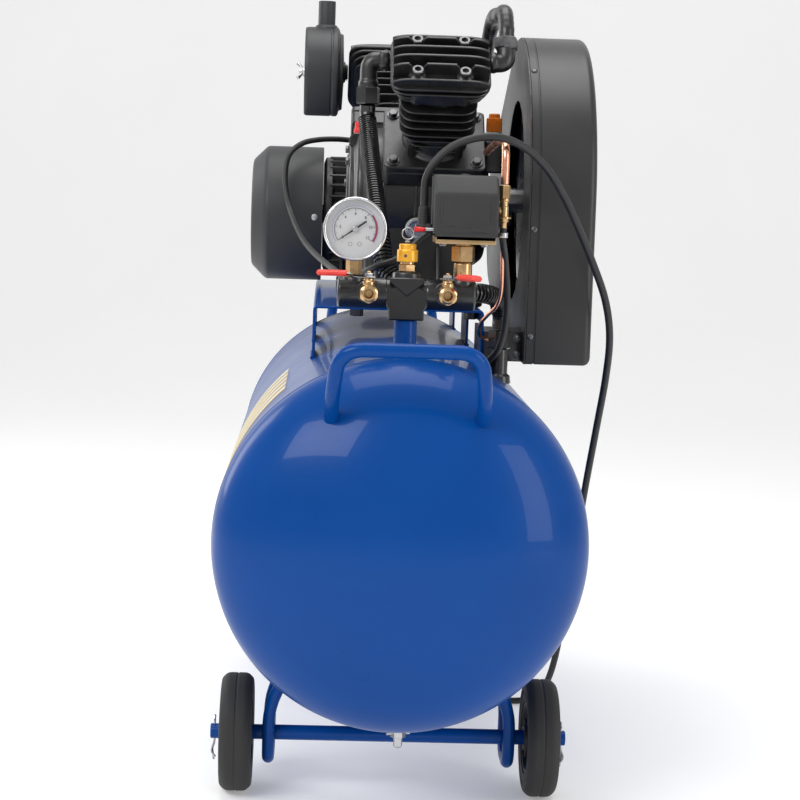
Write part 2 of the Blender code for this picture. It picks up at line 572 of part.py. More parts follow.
for name, bank, sign, axis in banks:
    bore, fin = bank["bore"], bank["fin"] / 2
    cut(case, bar(name + "_mouth", (0, 0, 0.030), (0, 0, BARREL_BASE + 0.01), bore + 0.001, sides=16,
                  parent=axis, helper=True))
    half_x, half_v = bore + 0.033, bore + 0.023
    barrel = block(name + "_cylinder", (-half_x, -half_v, BARREL_BASE),
                   (half_x, half_v, BARREL_BASE + FLANGE_THICK), IRON, parent=axis)
    join(barrel, bar(name + "_sleeve", (0, 0, BARREL_BASE + 0.002), (0, 0, BARREL_TOP - GAP),
                     bore + 0.008, sides=16, parent=axis, helper=True))
    for index in range(5):
        height = BARREL_BASE + FLANGE_THICK + FIN_PITCH * (index + 0.6)
        reach = fin if index > 1 else fin - 0.008
        join(barrel, block(f"{name}_fin_{index}", (-reach, -reach, height),
                           (reach, reach, height + 0.003), parent=axis, helper=True))
    cut(barrel, bar(name + "_bore", (0, 0, BARREL_BASE - 0.01), (0, 0, BARREL_TOP + 0.01), bore,
                    sides=20, parent=axis, helper=True))
    head = block(name + "_head", (-bank["head_x"] / 2, -bank["head_v"] / 2, BARREL_TOP),
                 (bank["head_x"] / 2, bank["head_v"] / 2, BARREL_TOP + HEAD_HEIGHT - 0.014), IRON,
                 0.006, parent=axis)
    for index, v in enumerate((-0.030, 0.0, 0.030)):
        join(head, block(f"{name}_head_rib_{index}",
                         (0.004 - bank["head_x"] / 2, v - 0.003, BARREL_TOP + 0.02),
                         (bank["head_x"] / 2 - 0.004, v + 0.003, BARREL_TOP + HEAD_HEIGHT),
                         parent=axis, helper=True))

    # Piston with its rod. The rod's big end stands at the crank pin, and the pin stops short of it.
    wrist = BARREL_BASE + 0.045
    crown = wrist + 0.020
    piston = turned(name + "_piston", [
        (0, crown), (bore - GAP, crown), (bore - GAP, crown - 0.042), (bore - 0.005, crown - 0.042),
        (bore - 0.005, crown - 0.010), (0, crown - 0.010),
    ], ALUMINIUM, (0, 0, 0), "z", 20, parent=axis)
    join(piston, bar(name + "_wrist_pin", (0.003 - bore, 0, wrist), (bore - 0.003, 0, wrist), 0.005,
                     sides=10, parent=axis, helper=True))
    pin_v = sign * CRANK_THROW * math.sin(BANK_ANGLE)
    pin_w = CRANK_THROW * math.cos(BANK_ANGLE)
    join(piston, bar(name + "_rod_shank", (0, 0, wrist), (0, pin_v, pin_w), 0.006, sides=8,
                     parent=axis, helper=True))
    join(piston, bar(name + "_big_end", (-0.008, pin_v, pin_w), (0.008, pin_v, pin_w), 0.016,
                     sides=14, parent=axis, helper=True))
    cut(piston, bar(name + "_big_end_bore", (-0.02, pin_v, pin_w), (0.02, pin_v, pin_w), 0.0092,
                    sides=12, parent=axis, helper=True))

# Crankshaft: an overhung web and pin inside the case, and the shaft that carries the flywheel
crank = bar("crankshaft", (WEB_RIGHT - 0.001, 0, CRANK_Z), (SHAFT_END, 0, CRANK_Z), CRANK_RADIUS,
            STEEL, 24)
join(crank, bar("crank_web", (WEB_LEFT, 0, CRANK_Z), (WEB_RIGHT, 0, CRANK_Z), 0.040, sides=24,
                helper=True))
join(crank, bar("crank_pin", (0.047, 0, CRANK_Z + CRANK_THROW),
                (WEB_LEFT + 0.002, 0, CRANK_Z + CRANK_THROW), 0.0088, sides=16, helper=True))



def belt_wheel(name, radius, rim, hub, bore, at, steps, material):
    """A rim with one V groove at the middle, a thin web and a hub, open on the shaft."""
    half = RIM_WIDTH / 2
    inner = radius - GROOVE - rim
    return turned(name, [
        (radius, half), (radius, 0.0095), (radius - GROOVE, 0.0060), (radius - GROOVE, -0.0060),
        (radius, -0.0095), (radius, -half), (inner, -half), (inner, -0.004), (hub, -0.004),
        (hub, -half), (bore + GAP, -half), (bore + GAP, half), (hub, half), (hub, 0.004),
        (inner, 0.004), (inner, half),
    ], material, at, "x", steps, ring=True)


flywheel = belt_wheel("flywheel", FLYWHEEL_RADIUS, 0.008, 0.030, CRANK_RADIUS,
                      (DRIVE_X, 0, CRANK_Z), 30, IRON)
for index in range(SPOKES):
    angle = 2 * math.pi * (index + 0.5) / SPOKES
    window = 0.088
    at_y, at_z = window * math.cos(angle), CRANK_Z + window * math.sin(angle)
    cut(flywheel, bar(f"flywheel_window_{index}", (DRIVE_X - 0.01, at_y, at_z),
                      (DRIVE_X + 0.01, at_y, at_z), 0.034, sides=8, helper=True))
belt_wheel("motor_pulley", PULLEY_RADIUS, 0.0035, 0.019, SHAFT_RADIUS, (DRIVE_X, MOTOR_Y, MOTOR_Z), 16,
           STEEL)


def belt_line(front_radius, rear_radius, front_steps, rear_steps):
    """The closed outline, as (y, z), of a belt round the crank's wheel and the motor's."""
    reach = math.hypot(MOTOR_Y, MOTOR_Z - CRANK_Z)
    slope = math.atan2(MOTOR_Z - CRANK_Z, MOTOR_Y)
    lean = math.acos((front_radius - rear_radius) / reach)
    points = []
    for step in range(front_steps + 1):
        angle = slope + lean + (2 * math.pi - 2 * lean) * step / front_steps
        points.append((front_radius * math.cos(angle), CRANK_Z + front_radius * math.sin(angle)))
    for step in range(rear_steps + 1):
        angle = slope - lean + 2 * lean * step / rear_steps
        points.append((MOTOR_Y + rear_radius * math.cos(angle),
                       MOTOR_Z + rear_radius * math.sin(angle)))
    return points


belt_seat = BELT_HALF + 0.0015 - GROOVE
belt_curve = bpy.data.curves.new("drive_belt", "CURVE")
belt_curve.dimensions = "3D"
belt_curve.bevel_depth = BELT_HALF
belt_curve.bevel_resolution = 0
belt_spline = belt_curve.splines.new("POLY")
belt_points = belt_line(FLYWHEEL_RADIUS + belt_seat, PULLEY_RADIUS + belt_seat, 24, 8)
belt_spline.points.add(len(belt_points) - 1)
for point, (y, z) in zip(belt_spline.points, belt_points):
    point.co = (DRIVE_X, y, z, 1)
belt_spline.use_cyclic_u = True
place("drive_belt", belt_curve, RUBBER, (0, 0, 0))


def guard_line(inset, front_steps=12, rear_steps=8):
    """The guard's outline as (y, z), set in all round: an arc over the flywheel, an upright front edge,
    a level lower edge from a square corner, and an arc round the motor's pulley."""
    front_radius, rear_radius = GUARD_FRONT_RADIUS - inset, GUARD_REAR_RADIUS - inset
    low = GUARD_BOTTOM + inset
    slope = math.atan2(MOTOR_Z - CRANK_Z, MOTOR_Y)
    lean = math.acos((front_radius - rear_radius) / math.hypot(MOTOR_Y, MOTOR_Z - CRANK_Z))
    points = []
    for step in range(front_steps + 1):
        angle = slope + lean + (math.pi - slope - lean) * step / front_steps
        points.append((front_radius * math.cos(angle), CRANK_Z + front_radius * math.sin(angle)))
    points.append((-front_radius, low))
    points.append((GUARD_TURN_Y, low))
    span = math.hypot(MOTOR_Y - GUARD_TURN_Y, MOTOR_Z - low)
    start = math.atan2(low - MOTOR_Z, GUARD_TURN_Y - MOTOR_Y) + math.acos(rear_radius / span)
    for step in range(rear_steps + 1):
        angle = start + (slope + lean - start) * step / rear_steps
        points.append((MOTOR_Y + rear_radius * math.cos(angle),
                       MOTOR_Z + rear_radius * math.sin(angle)))
    return points


def sheet_pan(name, inset, left, right, material=None, helper=False, rounding=0.0):
    """A solid with the guard's outline between two X values, its outer edge rounded."""
    mesh = bpy.data.meshes.new(name)
    bm = bmesh.new()
    loop = [bm.verts.new((left, y, z)) for y, z in guard_line(inset)]
    face = bm.faces.new(loop)
    grown = bmesh.ops.extrude_face_region(bm, geom=[face])["geom"]
    moved = [item for item in grown if isinstance(item, bmesh.types.BMVert)]
    bmesh.ops.translate(bm, verts=moved, vec=(right - left, 0, 0))
    if rounding:
        edges = [edge for edge in bm.edges if all(abs(v.co.x - right) < 1e-6 for v in edge.verts)]
        bmesh.ops.bevel(bm, geom=edges, offset=rounding, segments=2, profile=0.5, affect="EDGES")
    bmesh.ops.recalc_face_normals(bm, faces=bm.faces)
    bm.to_mesh(mesh)
    bm.free()
    return place(name, mesh, material, (0, 0, 0), helper=helper)


guard = sheet_pan("belt_guard_cover", 0, GUARD_BACK + 0.0005, GUARD_OUTER, BLACK,
                  rounding=GUARD_ROUNDING)
cut(guard, sheet_pan("guard_hollow", GUARD_SHEET, GUARD_BACK - 0.01, GUARD_OUTER - GUARD_SHEET,
                     helper=True, rounding=GUARD_ROUNDING - GUARD_SHEET))
back = sheet_pan("belt_guard_back", 0, GUARD_BACK - GUARD_SHEET, GUARD_BACK, BLACK)
cut(back, bar("back_crank_hole", (GUARD_BACK - 0.02, 0, CRANK_Z), (GUARD_BACK + 0.02, 0, CRANK_Z),
              0.115, sides=24, helper=True))
cut(back, bar("back_shaft_hole", (GUARD_BACK - 0.02, MOTOR_Y, MOTOR_Z),
              (GUARD_BACK + 0.02, MOTOR_Y, MOTOR_Z), 0.026, sides=20, helper=True))
join(back, block("guard_bracket", (DECK_HALF + GAP, -0.160, GUARD_BOTTOM + 0.0005),
                 (GUARD_BACK - GUARD_SHEET / 2, -0.080, 0.4925), helper=True))

# Motor: a hollow body with feet and a terminal box, a fan cover, the rotor shaft and the fan
body_length = MOTOR_RIGHT - MOTOR_LEFT
motor = turned("motor_body", [
    (MOTOR_RADIUS, body_length), (MOTOR_RADIUS, 0), (SHAFT_RADIUS + GAP, 0),
    (SHAFT_RADIUS + GAP, MOTOR_WALL), (MOTOR_RADIUS - 0.018, MOTOR_WALL),
    (MOTOR_RADIUS - 0.018, body_length - MOTOR_WALL), (SHAFT_RADIUS + GAP, body_length - MOTOR_WALL),
    (SHAFT_RADIUS + GAP, body_length),
], BLACK, (MOTOR_LEFT, MOTOR_Y, MOTOR_Z), "x", 24, ring=True)
for sign in (-1, 1):
    join(motor, block(f"motor_foot_{sign}", (MOTOR_LEFT + 0.020, MOTOR_Y + sign * 0.052 - 0.020, CASE_FOOT),
                      (MOTOR_RIGHT - 0.015, MOTOR_Y + sign * 0.052 + 0.020, MOTOR_Z - 0.040),
                      helper=True))
join(motor, block("terminal_box", (-0.040, MOTOR_Y - 0.035, MOTOR_Z + MOTOR_RADIUS - 0.012),
                  (0.050, MOTOR_Y + 0.035, BOX_TOP), helper=True))
cover_length = MOTOR_LEFT - FAN_COVER_END - GAP
fan_cover = turned("fan_cover", [
    (FAN_COVER_RADIUS, cover_length), (FAN_COVER_RADIUS, 0.016), (FAN_COVER_RADIUS - 0.018, 0),
    (0.012, 0), (0.012, 0.002), (FAN_COVER_RADIUS - 0.019, 0.002), (FAN_COVER_RADIUS - 0.002, 0.017),
    (FAN_COVER_RADIUS - 0.002, cover_length),
], BLACK, (FAN_COVER_END, MOTOR_Y, MOTOR_Z), "x", 24, ring=True)
shaft = bar("motor_shaft", (-0.158, MOTOR_Y, MOTOR_Z), (0.190, MOTOR_Y, MOTOR_Z), SHAFT_RADIUS, STEEL,
            20)
join(shaft, bar("rotor", (MOTOR_LEFT + 0.030, MOTOR_Y, MOTOR_Z), (MOTOR_RIGHT - 0.030, MOTOR_Y, MOTOR_Z),
                0.040, sides=20, helper=True))
fan = turned("motor_fan", [
    (0.058, -0.118), (0.058, -0.122), (0.018, -0.122), (0.018, -0.146), (SHAFT_RADIUS + GAP, -0.146),
    (SHAFT_RADIUS + GAP, -0.118),
], PLASTIC, (0, MOTOR_Y, MOTOR_Z), "x", 16, ring=True)
for index in range(6):
    angle = math.pi / 3 * index
    at_y, at_z = MOTOR_Y + 0.037 * math.cos(angle), MOTOR_Z + 0.037 * math.sin(angle)
    join(fan, block(f"fan_blade_{index}", (-0.144, at_y - 0.021, at_z - 0.001),
                    (-0.121, at_y + 0.021, at_z + 0.001), turn=(angle, 0, 0), helper=True))

# Discharge line: elbow on the front head, finned tube, check valve on the tank
head_middle = BARREL_TOP + 0.030
port_y = -head_middle * math.sin(BANK_ANGLE)
port_z = CRANK_Z + head_middle * math.cos(BANK_ANGLE)
head_left = FRONT_BANK["x"] - FRONT_BANK["head_x"] / 2 - GAP
elbow_x = -0.040
elbow_line = [(head_left, port_y + 0.035, port_z), (elbow_x, port_y + 0.035, port_z),
              (elbow_x, port_y + 0.035, port_z - 0.030)]
elbow = to_mesh(pipe("left_elbow", rounded(elbow_line, 0.012, 3), ELBOW_RADIUS, IRON))
elbow_bottom = port_z - 0.048
join(elbow, bar("elbow_nut", (elbow_x, port_y + 0.035, elbow_bottom),
                (elbow_x, port_y + 0.035, port_z - 0.028), 0.0135, sides=6, helper=True))
tube_y = port_y + 0.035
pipe("discharge_tube", smooth_route([
    (elbow_x, tube_y, elbow_bottom - GAP), (elbow_x, tube_y, elbow_bottom - 0.014),
    (-0.038, tube_y - 0.020, 0.700), (-0.0335, -0.200, 0.652),
    (-0.026, -0.260, 0.5980), (-0.018, -0.278, 0.562), (0.010, -0.288, 0.5420), (0.050, -0.286, 0.5400),
    (0.080, -0.275, 0.5400), (0.0985, -0.248, 0.5330), (CHECK_X, CHECK_Y, 0.5160),
    (CHECK_X, CHECK_Y, 0.5002)], 0.026),
     FINNED_RADIUS, BLACK)
check = bar("check_valve", (CHECK_X, CHECK_Y, TANK_Z + 0.140), (CHECK_X, CHECK_Y, 0.485), 0.0090, BLACK,
            16)
join(check, bar("check_valve_nut", (CHECK_X, CHECK_Y, 0.480), (CHECK_X, CHECK_Y, 0.4998), 0.0125,
                sides=6, helper=True))
cut(check, tank_outside)

# Crossover pipe between the two heads, with the right elbow
head_right = FRONT_BANK["x"] + FRONT_BANK["head_x"] / 2 + GAP
elbow_right_x = 0.108
right_line = [(head_right, port_y + 0.010, port_z), (elbow_right_x, port_y + 0.010, port_z),
              (elbow_right_x, port_y + 0.016, port_z + 0.020)]
right = to_mesh(pipe("right_elbow", rounded(right_line, 0.010, 3), ELBOW_RADIUS, IRON))
join(right, bar("right_elbow_nut", (elbow_right_x, port_y + 0.015, port_z + 0.015),
                (elbow_right_x, port_y + 0.018, port_z + 0.028), 0.0135, sides=6, helper=True))
rear_side = REAR_BANK["x"] + REAR_BANK["head_x"] / 2 + GAP
pipe("crossover_pipe", smooth_route([
    (elbow_right_x, port_y + 0.0182, port_z + 0.0285), (elbow_right_x, port_y + 0.0205, port_z + 0.0385),
    (elbow_right_x - 0.001, port_y + 0.040, port_z + 0.056),
    (0.106, -0.050, 0.8400), (0.105, 0.005, 0.8430), (0.105, 0.060, 0.8300), (0.104, 0.105, 0.8080),
    (0.098, 0.135, 0.7900), (rear_side + 0.012, 0.147, 0.7840), (rear_side, 0.147, 0.7840)], 0.024),
     0.0090, BLACK)

# Air filter on the rear head's left side
rear_left = REAR_BANK["x"] - REAR_BANK["head_x"] / 2 - GAP
filter_case = turned("air_filter", [
    (0, 0.0515), (0.0065, 0.0515), (0.0065, 0.046), (0.046, 0.045), (0.047, 0.040),
    (FILTER_RADIUS, 0.038), (FILTER_RADIUS, 0.002), (FILTER_RADIUS - 0.001, 0), (0.006, -0.001),
    (0.004, -0.012), (0, -0.012),
], BLACK, (rear_left - 0.0515, FILTER_Y, FILTER_Z), "x", 24)
snorkel_x = rear_left - 0.0515 + 0.024
join(filter_case, bar("filter_snorkel", (snorkel_x, FILTER_Y, FILTER_Z + 0.040),
                      (snorkel_x, FILTER_Y, 0.8665), 0.0105, sides=16, helper=True))
cut(filter_case, bar("snorkel_bore", (snorkel_x, FILTER_Y, FILTER_Z + 0.020),
                     (snorkel_x, FILTER_Y, 0.880), 0.0085, sides=16, helper=True))

# Oil filler cap on the right of the crankcase
cap_seat = 0.7100
flange_right = FRONT_BANK["x"] + FRONT_BANK["bore"] + 0.033 + GAP
join(case, block("filler_boss", (flange_right, CAP_Y - 0.012, 0.664),
                 (CAP_X + 0.0105, CAP_Y + 0.012, cap_seat - 0.010), helper=True))
join(case, bar("oil_filler", (CAP_X, CAP_Y, cap_seat - 0.020), (CAP_X, CAP_Y, cap_seat), 0.0095,
               sides=12, helper=True))
bar("oil_cap", (CAP_X, CAP_Y, cap_seat + GAP), (CAP_X, CAP_Y, 0.7310), 0.0090, ORANGE, 16)

# Cords. The mains cord rises from its gland, arches over the guard and falls to the floor.
FLOOR_LIFT = 0.0003
coil_low = FLOOR_LIFT
coil_high = coil_low + 2 * CORD_RADIUS + (COIL_TURNS - 1) * TURN_PITCH
half_ring = CORD_RADIUS + 0.0003
turned("cord_coil", [
    (COIL_RADIUS + half_ring, coil_high), (COIL_RADIUS + half_ring, coil_low),
    (COIL_RADIUS - half_ring, coil_low), (COIL_RADIUS - half_ring, coil_high),
], RUBBER, (*COIL_CENTRE, 0), "z", 32, ring=True)
CORD_ROUTE = [
    (gland_x, gland_y, GLAND_TOP + GAP), (gland_x, gland_y, GLAND_TOP + 0.012),
    (0.0165, -0.3270, 0.656), (0.0245, -0.329, 0.672),
    (0.0405, -0.330, 0.6875), (0.0640, -0.330, 0.6970), (0.0890, -0.329, 0.6985),
    (0.1150, -0.320, 0.6890), (0.1390, -0.302, 0.6700), (0.1600, -0.278, 0.6430),
    (0.1790, -0.252, 0.6120), (0.1990, -0.226, 0.5750), (0.2180, -0.203, 0.5330),
    (0.2280, -0.178, 0.4920), (0.2310, -0.140, 0.4440), (0.2300, -0.090, 0.3820),
    (0.2270, -0.035, 0.3020), (0.2240, 0.020, 0.2120), (0.2200, 0.068, 0.1240),
    (0.2140, 0.104, 0.0560), (0.2020, 0.128, 0.0180), (0.1800, 0.140, 0.0055),
    (0.1560, 0.1430, 0.0047), (0.1250, 0.1430, 0.0047), (0.0920, 0.1415, 0.0047),
    (COIL_CENTRE[0] + 0.020, COIL_CENTRE[1] - COIL_RADIUS - half_ring - CORD_RADIUS - 0.001, 0.0047),
]
pipe("mains_cord", smooth_route(CORD_ROUTE, 0.024), CORD_RADIUS, RUBBER)

plug_y = COIL_CENTRE[1] + COIL_RADIUS + half_ring
plug = bar("plug", (COIL_CENTRE[0] - 0.010, plug_y + PLUG_RADIUS, PLUG_RADIUS + FLOOR_LIFT),
           (COIL_CENTRE[0] + PLUG_LENGTH - 0.010, plug_y + PLUG_RADIUS, PLUG_RADIUS + FLOOR_LIFT),
           PLUG_RADIUS, RUBBER, 20)
for index, sign in enumerate((-1, 1)):
    pin_y = plug_y + PLUG_RADIUS + sign * 0.0095
    join(plug, bar(f"plug_pin_{index}", (COIL_CENTRE[0] + 0.020, pin_y, PLUG_RADIUS + FLOOR_LIFT),
                   (COIL_CENTRE[0] + PLUG_LENGTH + 0.009, pin_y, PLUG_RADIUS + FLOOR_LIFT), 0.0024,
                   sides=10, helper=True))

pipe("motor_lead", smooth_route([
    (-0.0403, 0.268, 0.7020), (-0.0560, 0.268, 0.7020), (-0.0700, 0.262, 0.7025), (-0.0930, 0.250, 0.7010),
    (-0.1150, 0.232, 0.6950), (-0.1310, 0.208, 0.6790), (-0.1345, 0.196, 0.6480),
    (-0.1270, 0.178, 0.6130), (-0.1130, 0.120, 0.5840), (-0.0980, 0.030, 0.5680),
    (-0.0820, -0.060, 0.5580), (-0.0660, -0.150, 0.5500), (-0.0600, -0.235, 0.5480),
    (-0.0330, -0.305, 0.5640), (-0.0050, -0.306, 0.5760), (0.0150, -0.290, 0.5950),
    (0.0350, -0.278, 0.6080), (0.0450, -0.284, 0.6120),
    (0.0450, SWITCH_REAR + GAP, 0.6120)], 0.021), LEAD_RADIUS, RUBBER)

for thing in pieces.objects:
    if thing.type == "MESH" and thing.modifiers and thing.modifiers[-1].type == "BOOLEAN":
        thing.data.shade_flat()
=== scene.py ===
import json
import math

import bmesh
import bpy
import numpy as np
from mathutils import Matrix, Vector

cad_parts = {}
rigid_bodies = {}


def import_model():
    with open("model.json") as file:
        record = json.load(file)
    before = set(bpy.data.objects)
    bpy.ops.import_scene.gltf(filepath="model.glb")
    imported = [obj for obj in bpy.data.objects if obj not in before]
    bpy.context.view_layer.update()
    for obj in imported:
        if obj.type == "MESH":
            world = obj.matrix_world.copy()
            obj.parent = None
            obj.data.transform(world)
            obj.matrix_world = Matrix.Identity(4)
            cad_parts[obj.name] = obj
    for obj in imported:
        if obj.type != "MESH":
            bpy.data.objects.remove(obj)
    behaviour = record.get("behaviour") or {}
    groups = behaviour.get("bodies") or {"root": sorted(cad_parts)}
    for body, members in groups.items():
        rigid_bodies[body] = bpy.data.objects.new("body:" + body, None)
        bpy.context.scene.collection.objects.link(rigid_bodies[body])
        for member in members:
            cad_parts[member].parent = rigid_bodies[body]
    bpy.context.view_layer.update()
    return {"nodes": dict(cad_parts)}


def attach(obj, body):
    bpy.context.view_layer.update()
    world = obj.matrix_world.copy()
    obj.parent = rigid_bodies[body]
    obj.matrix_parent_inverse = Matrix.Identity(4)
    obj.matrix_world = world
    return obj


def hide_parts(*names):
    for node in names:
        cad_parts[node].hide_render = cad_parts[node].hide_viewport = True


for old in list(bpy.data.objects):
    bpy.data.objects.remove(old)
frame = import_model()
middleX = -0.00875  # the frame's origin is this far from the tank's axis
print("frame loaded")


# shapes: each is (points, face corners, face sizes), worked out as whole arrays
def gridShape(rows, around=True, capFirst=True, capLast=True):
    # quads between neighbouring rows of a grid of points, with a flat face on the first and the last row
    rows = np.asarray(rows, float)
    m, n = rows.shape[:2]
    i = np.arange(m - 1)[:, None] * n
    j = np.arange(n if around else n - 1)[None, :]
    k = (j + 1) % n
    quads = np.stack([i + j, i + k, i + n + k, i + n + j], -1).reshape(-1)
    corners, sizes = [quads], [np.full(len(quads) // 4, 4)]
    if capFirst:
        corners.append(np.arange(n)[::-1])
        sizes.append([n])
    if capLast:
        corners.append(np.arange(n) + (m - 1) * n)
        sizes.append([n])
    return rows.reshape(-1, 3), np.concatenate(corners), np.concatenate(sizes)


def merged(*shapes):
    starts = np.cumsum([0] + [len(s[0]) for s in shapes[:-1]])
    return (np.concatenate([s[0] for s in shapes]), np.concatenate([s[1] + start for s,
        start in zip(shapes, starts)]), np.concatenate([s[2] for s in shapes]))


def moved(shape, matrix):
    turn = np.array(matrix)
    return shape[0] @ turn[:3, :3].T + turn[:3, 3], shape[1], shape[2]


def facing(place, direction):
    # a matrix that puts local Z along the direction, at the place
    turn = Vector(direction).to_track_quat("Z", "Y").to_matrix().to_4x4()
    return Matrix.Translation(place) @ turn


def softLine(points, radius, steps=6, closed=False):
    # straight runs whose corners are replaced by short curves, each a blend of two lines
    points = np.asarray(points, float)
    before, after = np.roll(points, 1, 0), np.roll(points, -1, 0)
    if not closed:
        first, last = points[:1], points[-1:]
        points, before, after = points[1:-1], before[1:-1], after[1:-1]
    radius = np.broadcast_to(np.asarray(radius, float), (len(points),))[:, None]
    back, ahead = before - points, after - points
    backLong = np.linalg.norm(back, axis=1, keepdims=True)
    aheadLong = np.linalg.norm(ahead, axis=1, keepdims=True)
    reach = np.minimum(radius, np.minimum(backLong, aheadLong) * 0.48)
    start, end = points + back / backLong * reach, points + ahead / aheadLong * reach
    t = np.linspace(0, 1, steps + 1)[None, :, None]
    curve = (start[:, None] * (1 - t) ** 2 + 2 * points[:, None] * t * (1 - t) + end[:, None] * t ** 2)
    curve = curve.reshape(-1, points.shape[1])
    return curve if closed else np.concatenate([first, curve, last])


def turnedShape(profile, place, direction, steps=64, ring=False):
    # the profile (radius, height) carried round an axis: x = r cos a, y = r sin a, z = h
    profile = np.asarray(profile, float)
    if ring:
        profile = np.concatenate([profile, profile[:1]])
    a = np.linspace(0, 2 * np.pi, steps, endpoint=False)[None, :]
    r, h = profile[:, :1], profile[:, 1:]
    rows = np.stack([r * np.cos(a), r * np.sin(a), h + 0 * a], -1)
    return moved(gridShape(rows, True, not ring, not ring), facing(place, direction))


def smoothPath(points, spacing):
    # a Catmull-Rom curve: each stretch is a cubic of the four points about it
    p = np.asarray(points, float)
    p = np.concatenate([[2 * p[0] - p[1]], p, [2 * p[-1] - p[-2]]])
    path = []
    for p0, p1, p2, p3 in zip(p, p[1:], p[2:], p[3:]):
        t = np.arange(0, 1, 1 / max(1, round(np.linalg.norm(p2 - p1) / spacing)))[:, None]
        path.append(0.5 * (2 * p1 + (p2 - p0) * t + (2 * p0 - 5 * p1 + 4 * p2 - p3) * t ** 2
                           + (3 * p1 - p0 - 3 * p2 + p3) * t ** 3))
    return np.concatenate([*path, p[-2:-1]])


def tubeShape(path, radius, sides=20, ring=False):
    # a circle carried along a path, each one turned as little as possible from the one before
    path = np.asarray(path, float)
    ahead = (np.roll(path, -1, 0) - np.roll(path, 1, 0)) if ring else np.gradient(path, axis=0)
    ahead /= np.linalg.norm(ahead, axis=1, keepdims=True)
    side = np.cross(ahead[0], [0.3, 0.5, 0.8])
    sidesOf = []
    for step in ahead:
        side = side - step * (side @ step)
        side /= np.linalg.norm(side)
        sidesOf.append(side)
    u = np.array(sidesOf)
    w = np.cross(ahead, u)
    a = np.linspace(0, 2 * np.pi, sides, endpoint=False)[None, :, None]
    r = np.broadcast_to(np.asarray(radius, float).reshape(-1, 1, 1), (len(path), 1, 1))
    rows = path[:, None] + r * (u[:, None] * np.cos(a) + w[:, None] * np.sin(a))
    if ring:
        rows = np.concatenate([rows, rows[:1]])
    return gridShape(rows, True, not ring, not ring)


def softBox(low, high, radius=0.001, steps=3, turn=None):
    # eight sphere corners pushed apart: p = sign * (half - r) + r * direction
    low, high = np.asarray(low, float), np.asarray(high, float)
    half, centre = (high - low) / 2, (high + low) / 2
    radius = min(radius, half.min() * 0.98)
    q = np.linspace(0, np.pi / 2, steps + 1)
    lat = np.concatenate([q - np.pi / 2, q])[:, None]
    latSign = np.repeat([-1, 1], steps + 1)[:, None]
    lon = np.concatenate([q, q + np.pi / 2, q + np.pi, q + 1.5 * np.pi])[None, :]
    xSign = np.repeat([1, -1, -1, 1], steps + 1)[None, :]
    ySign = np.repeat([1, 1, -1, -1], steps + 1)[None, :]
    core = half - radius
    rows = np.stack([xSign * core[0] + radius * np.cos(lat) * np.cos(lon),
        ySign * core[1] + radius * np.cos(lat) * np.sin(lon),
        latSign * core[2] + radius * np.sin(lat) + 0 * lon], -1)
    shape = gridShape(rows)
    matrix = Matrix.Translation(Vector(centre)) @ (turn or Matrix.Identity(4))
    return moved(shape, matrix)


def prismShape(outline, low, high, matrix=None, edge=0.0006):
    # a flat outline (u, v) carried from w = low to w = high, its two rims cut back by the edge
    line = np.asarray(outline, float)
    along = np.roll(line, -1, 0) - line
    normal = np.stack([along[:, 1], -along[:, 0]], 1)
    normal /= np.maximum(np.linalg.norm(normal, axis=1, keepdims=True), 1e-9)
    area = np.sum(line[:, 0] * np.roll(line[:, 1], -1) - np.roll(line[:, 0], -1) * line[:, 1])
    mean = normal + np.roll(normal, 1, 0)
    mean /= np.maximum((mean ** 2).sum(1, keepdims=True) / 2, 0.6)
    inner = line - mean * edge * (1 if area > 0 else -1)
    rows = [np.c_[inner, np.full(len(line), low)], np.c_[line, np.full(len(line), low + edge)],
        np.c_[line, np.full(len(line), high - edge)], np.c_[inner, np.full(len(line), high)]]
    shape = gridShape(np.array(rows))
    return moved(shape, matrix) if matrix is not None else shape


def ngonLine(sides, flats, turn=0.0):
    a = np.arange(sides) / sides * 2 * np.pi + turn
    return np.stack([np.cos(a), np.sin(a)], 1) * flats / 2 / math.cos(math.pi / sides)


alongX = Matrix(((0, 0, 1, 0), (1, 0, 0, 0), (0, 1, 0, 0), (0, 0, 0, 1)))  # outline (y, z), carried along x
alongY = Matrix(((1, 0, 0, 0), (0, 0, 1, 0), (0, 1, 0, 0), (0, 0, 0, 1)))  # outline (x, z), carried along y


def ringRow(radius, height, angles):
    # one circle of a lathed shape: x = r cos a, y = r sin a, z = h
    return np.stack([radius * np.cos(angles), radius * np.sin(angles), height + 0 * angles], 1)


def boltShape(place, direction, flats=0.010, tall=0.0055, washer=0.0085, turn=0.2):
    # a hexagon head with a chamfered top on a thin washer
    head = prismShape(ngonLine(6, flats, turn), 0.0012, tall, edge=0.0007)
    disc = turnedShape([(0, 0), (washer, 0), (washer, 0.0010), (washer - 0.0004, 0.0014), (0, 0.0014)],
        (0, 0, 0), (0, 0, 1), 28)
    return moved(merged(head, disc), facing(place, direction))


def socketShape(place, direction, radius=0.0065, tall=0.008):
    # a round head with a hexagon socket sunk in its top
    a = np.linspace(0, 2 * np.pi, 36, endpoint=False)
    hexagon = radius * 0.52 / np.cos((a + np.pi / 6) % (np.pi / 3) - np.pi / 6)
    steps = ((radius, 0), (radius, tall - 0.0008), (radius - 0.0008, tall), (hexagon, tall),
        (hexagon, tall - 0.004))
    rows = np.array([ringRow(r, h, a) for r, h in steps])
    return moved(gridShape(rows), facing(place, direction))


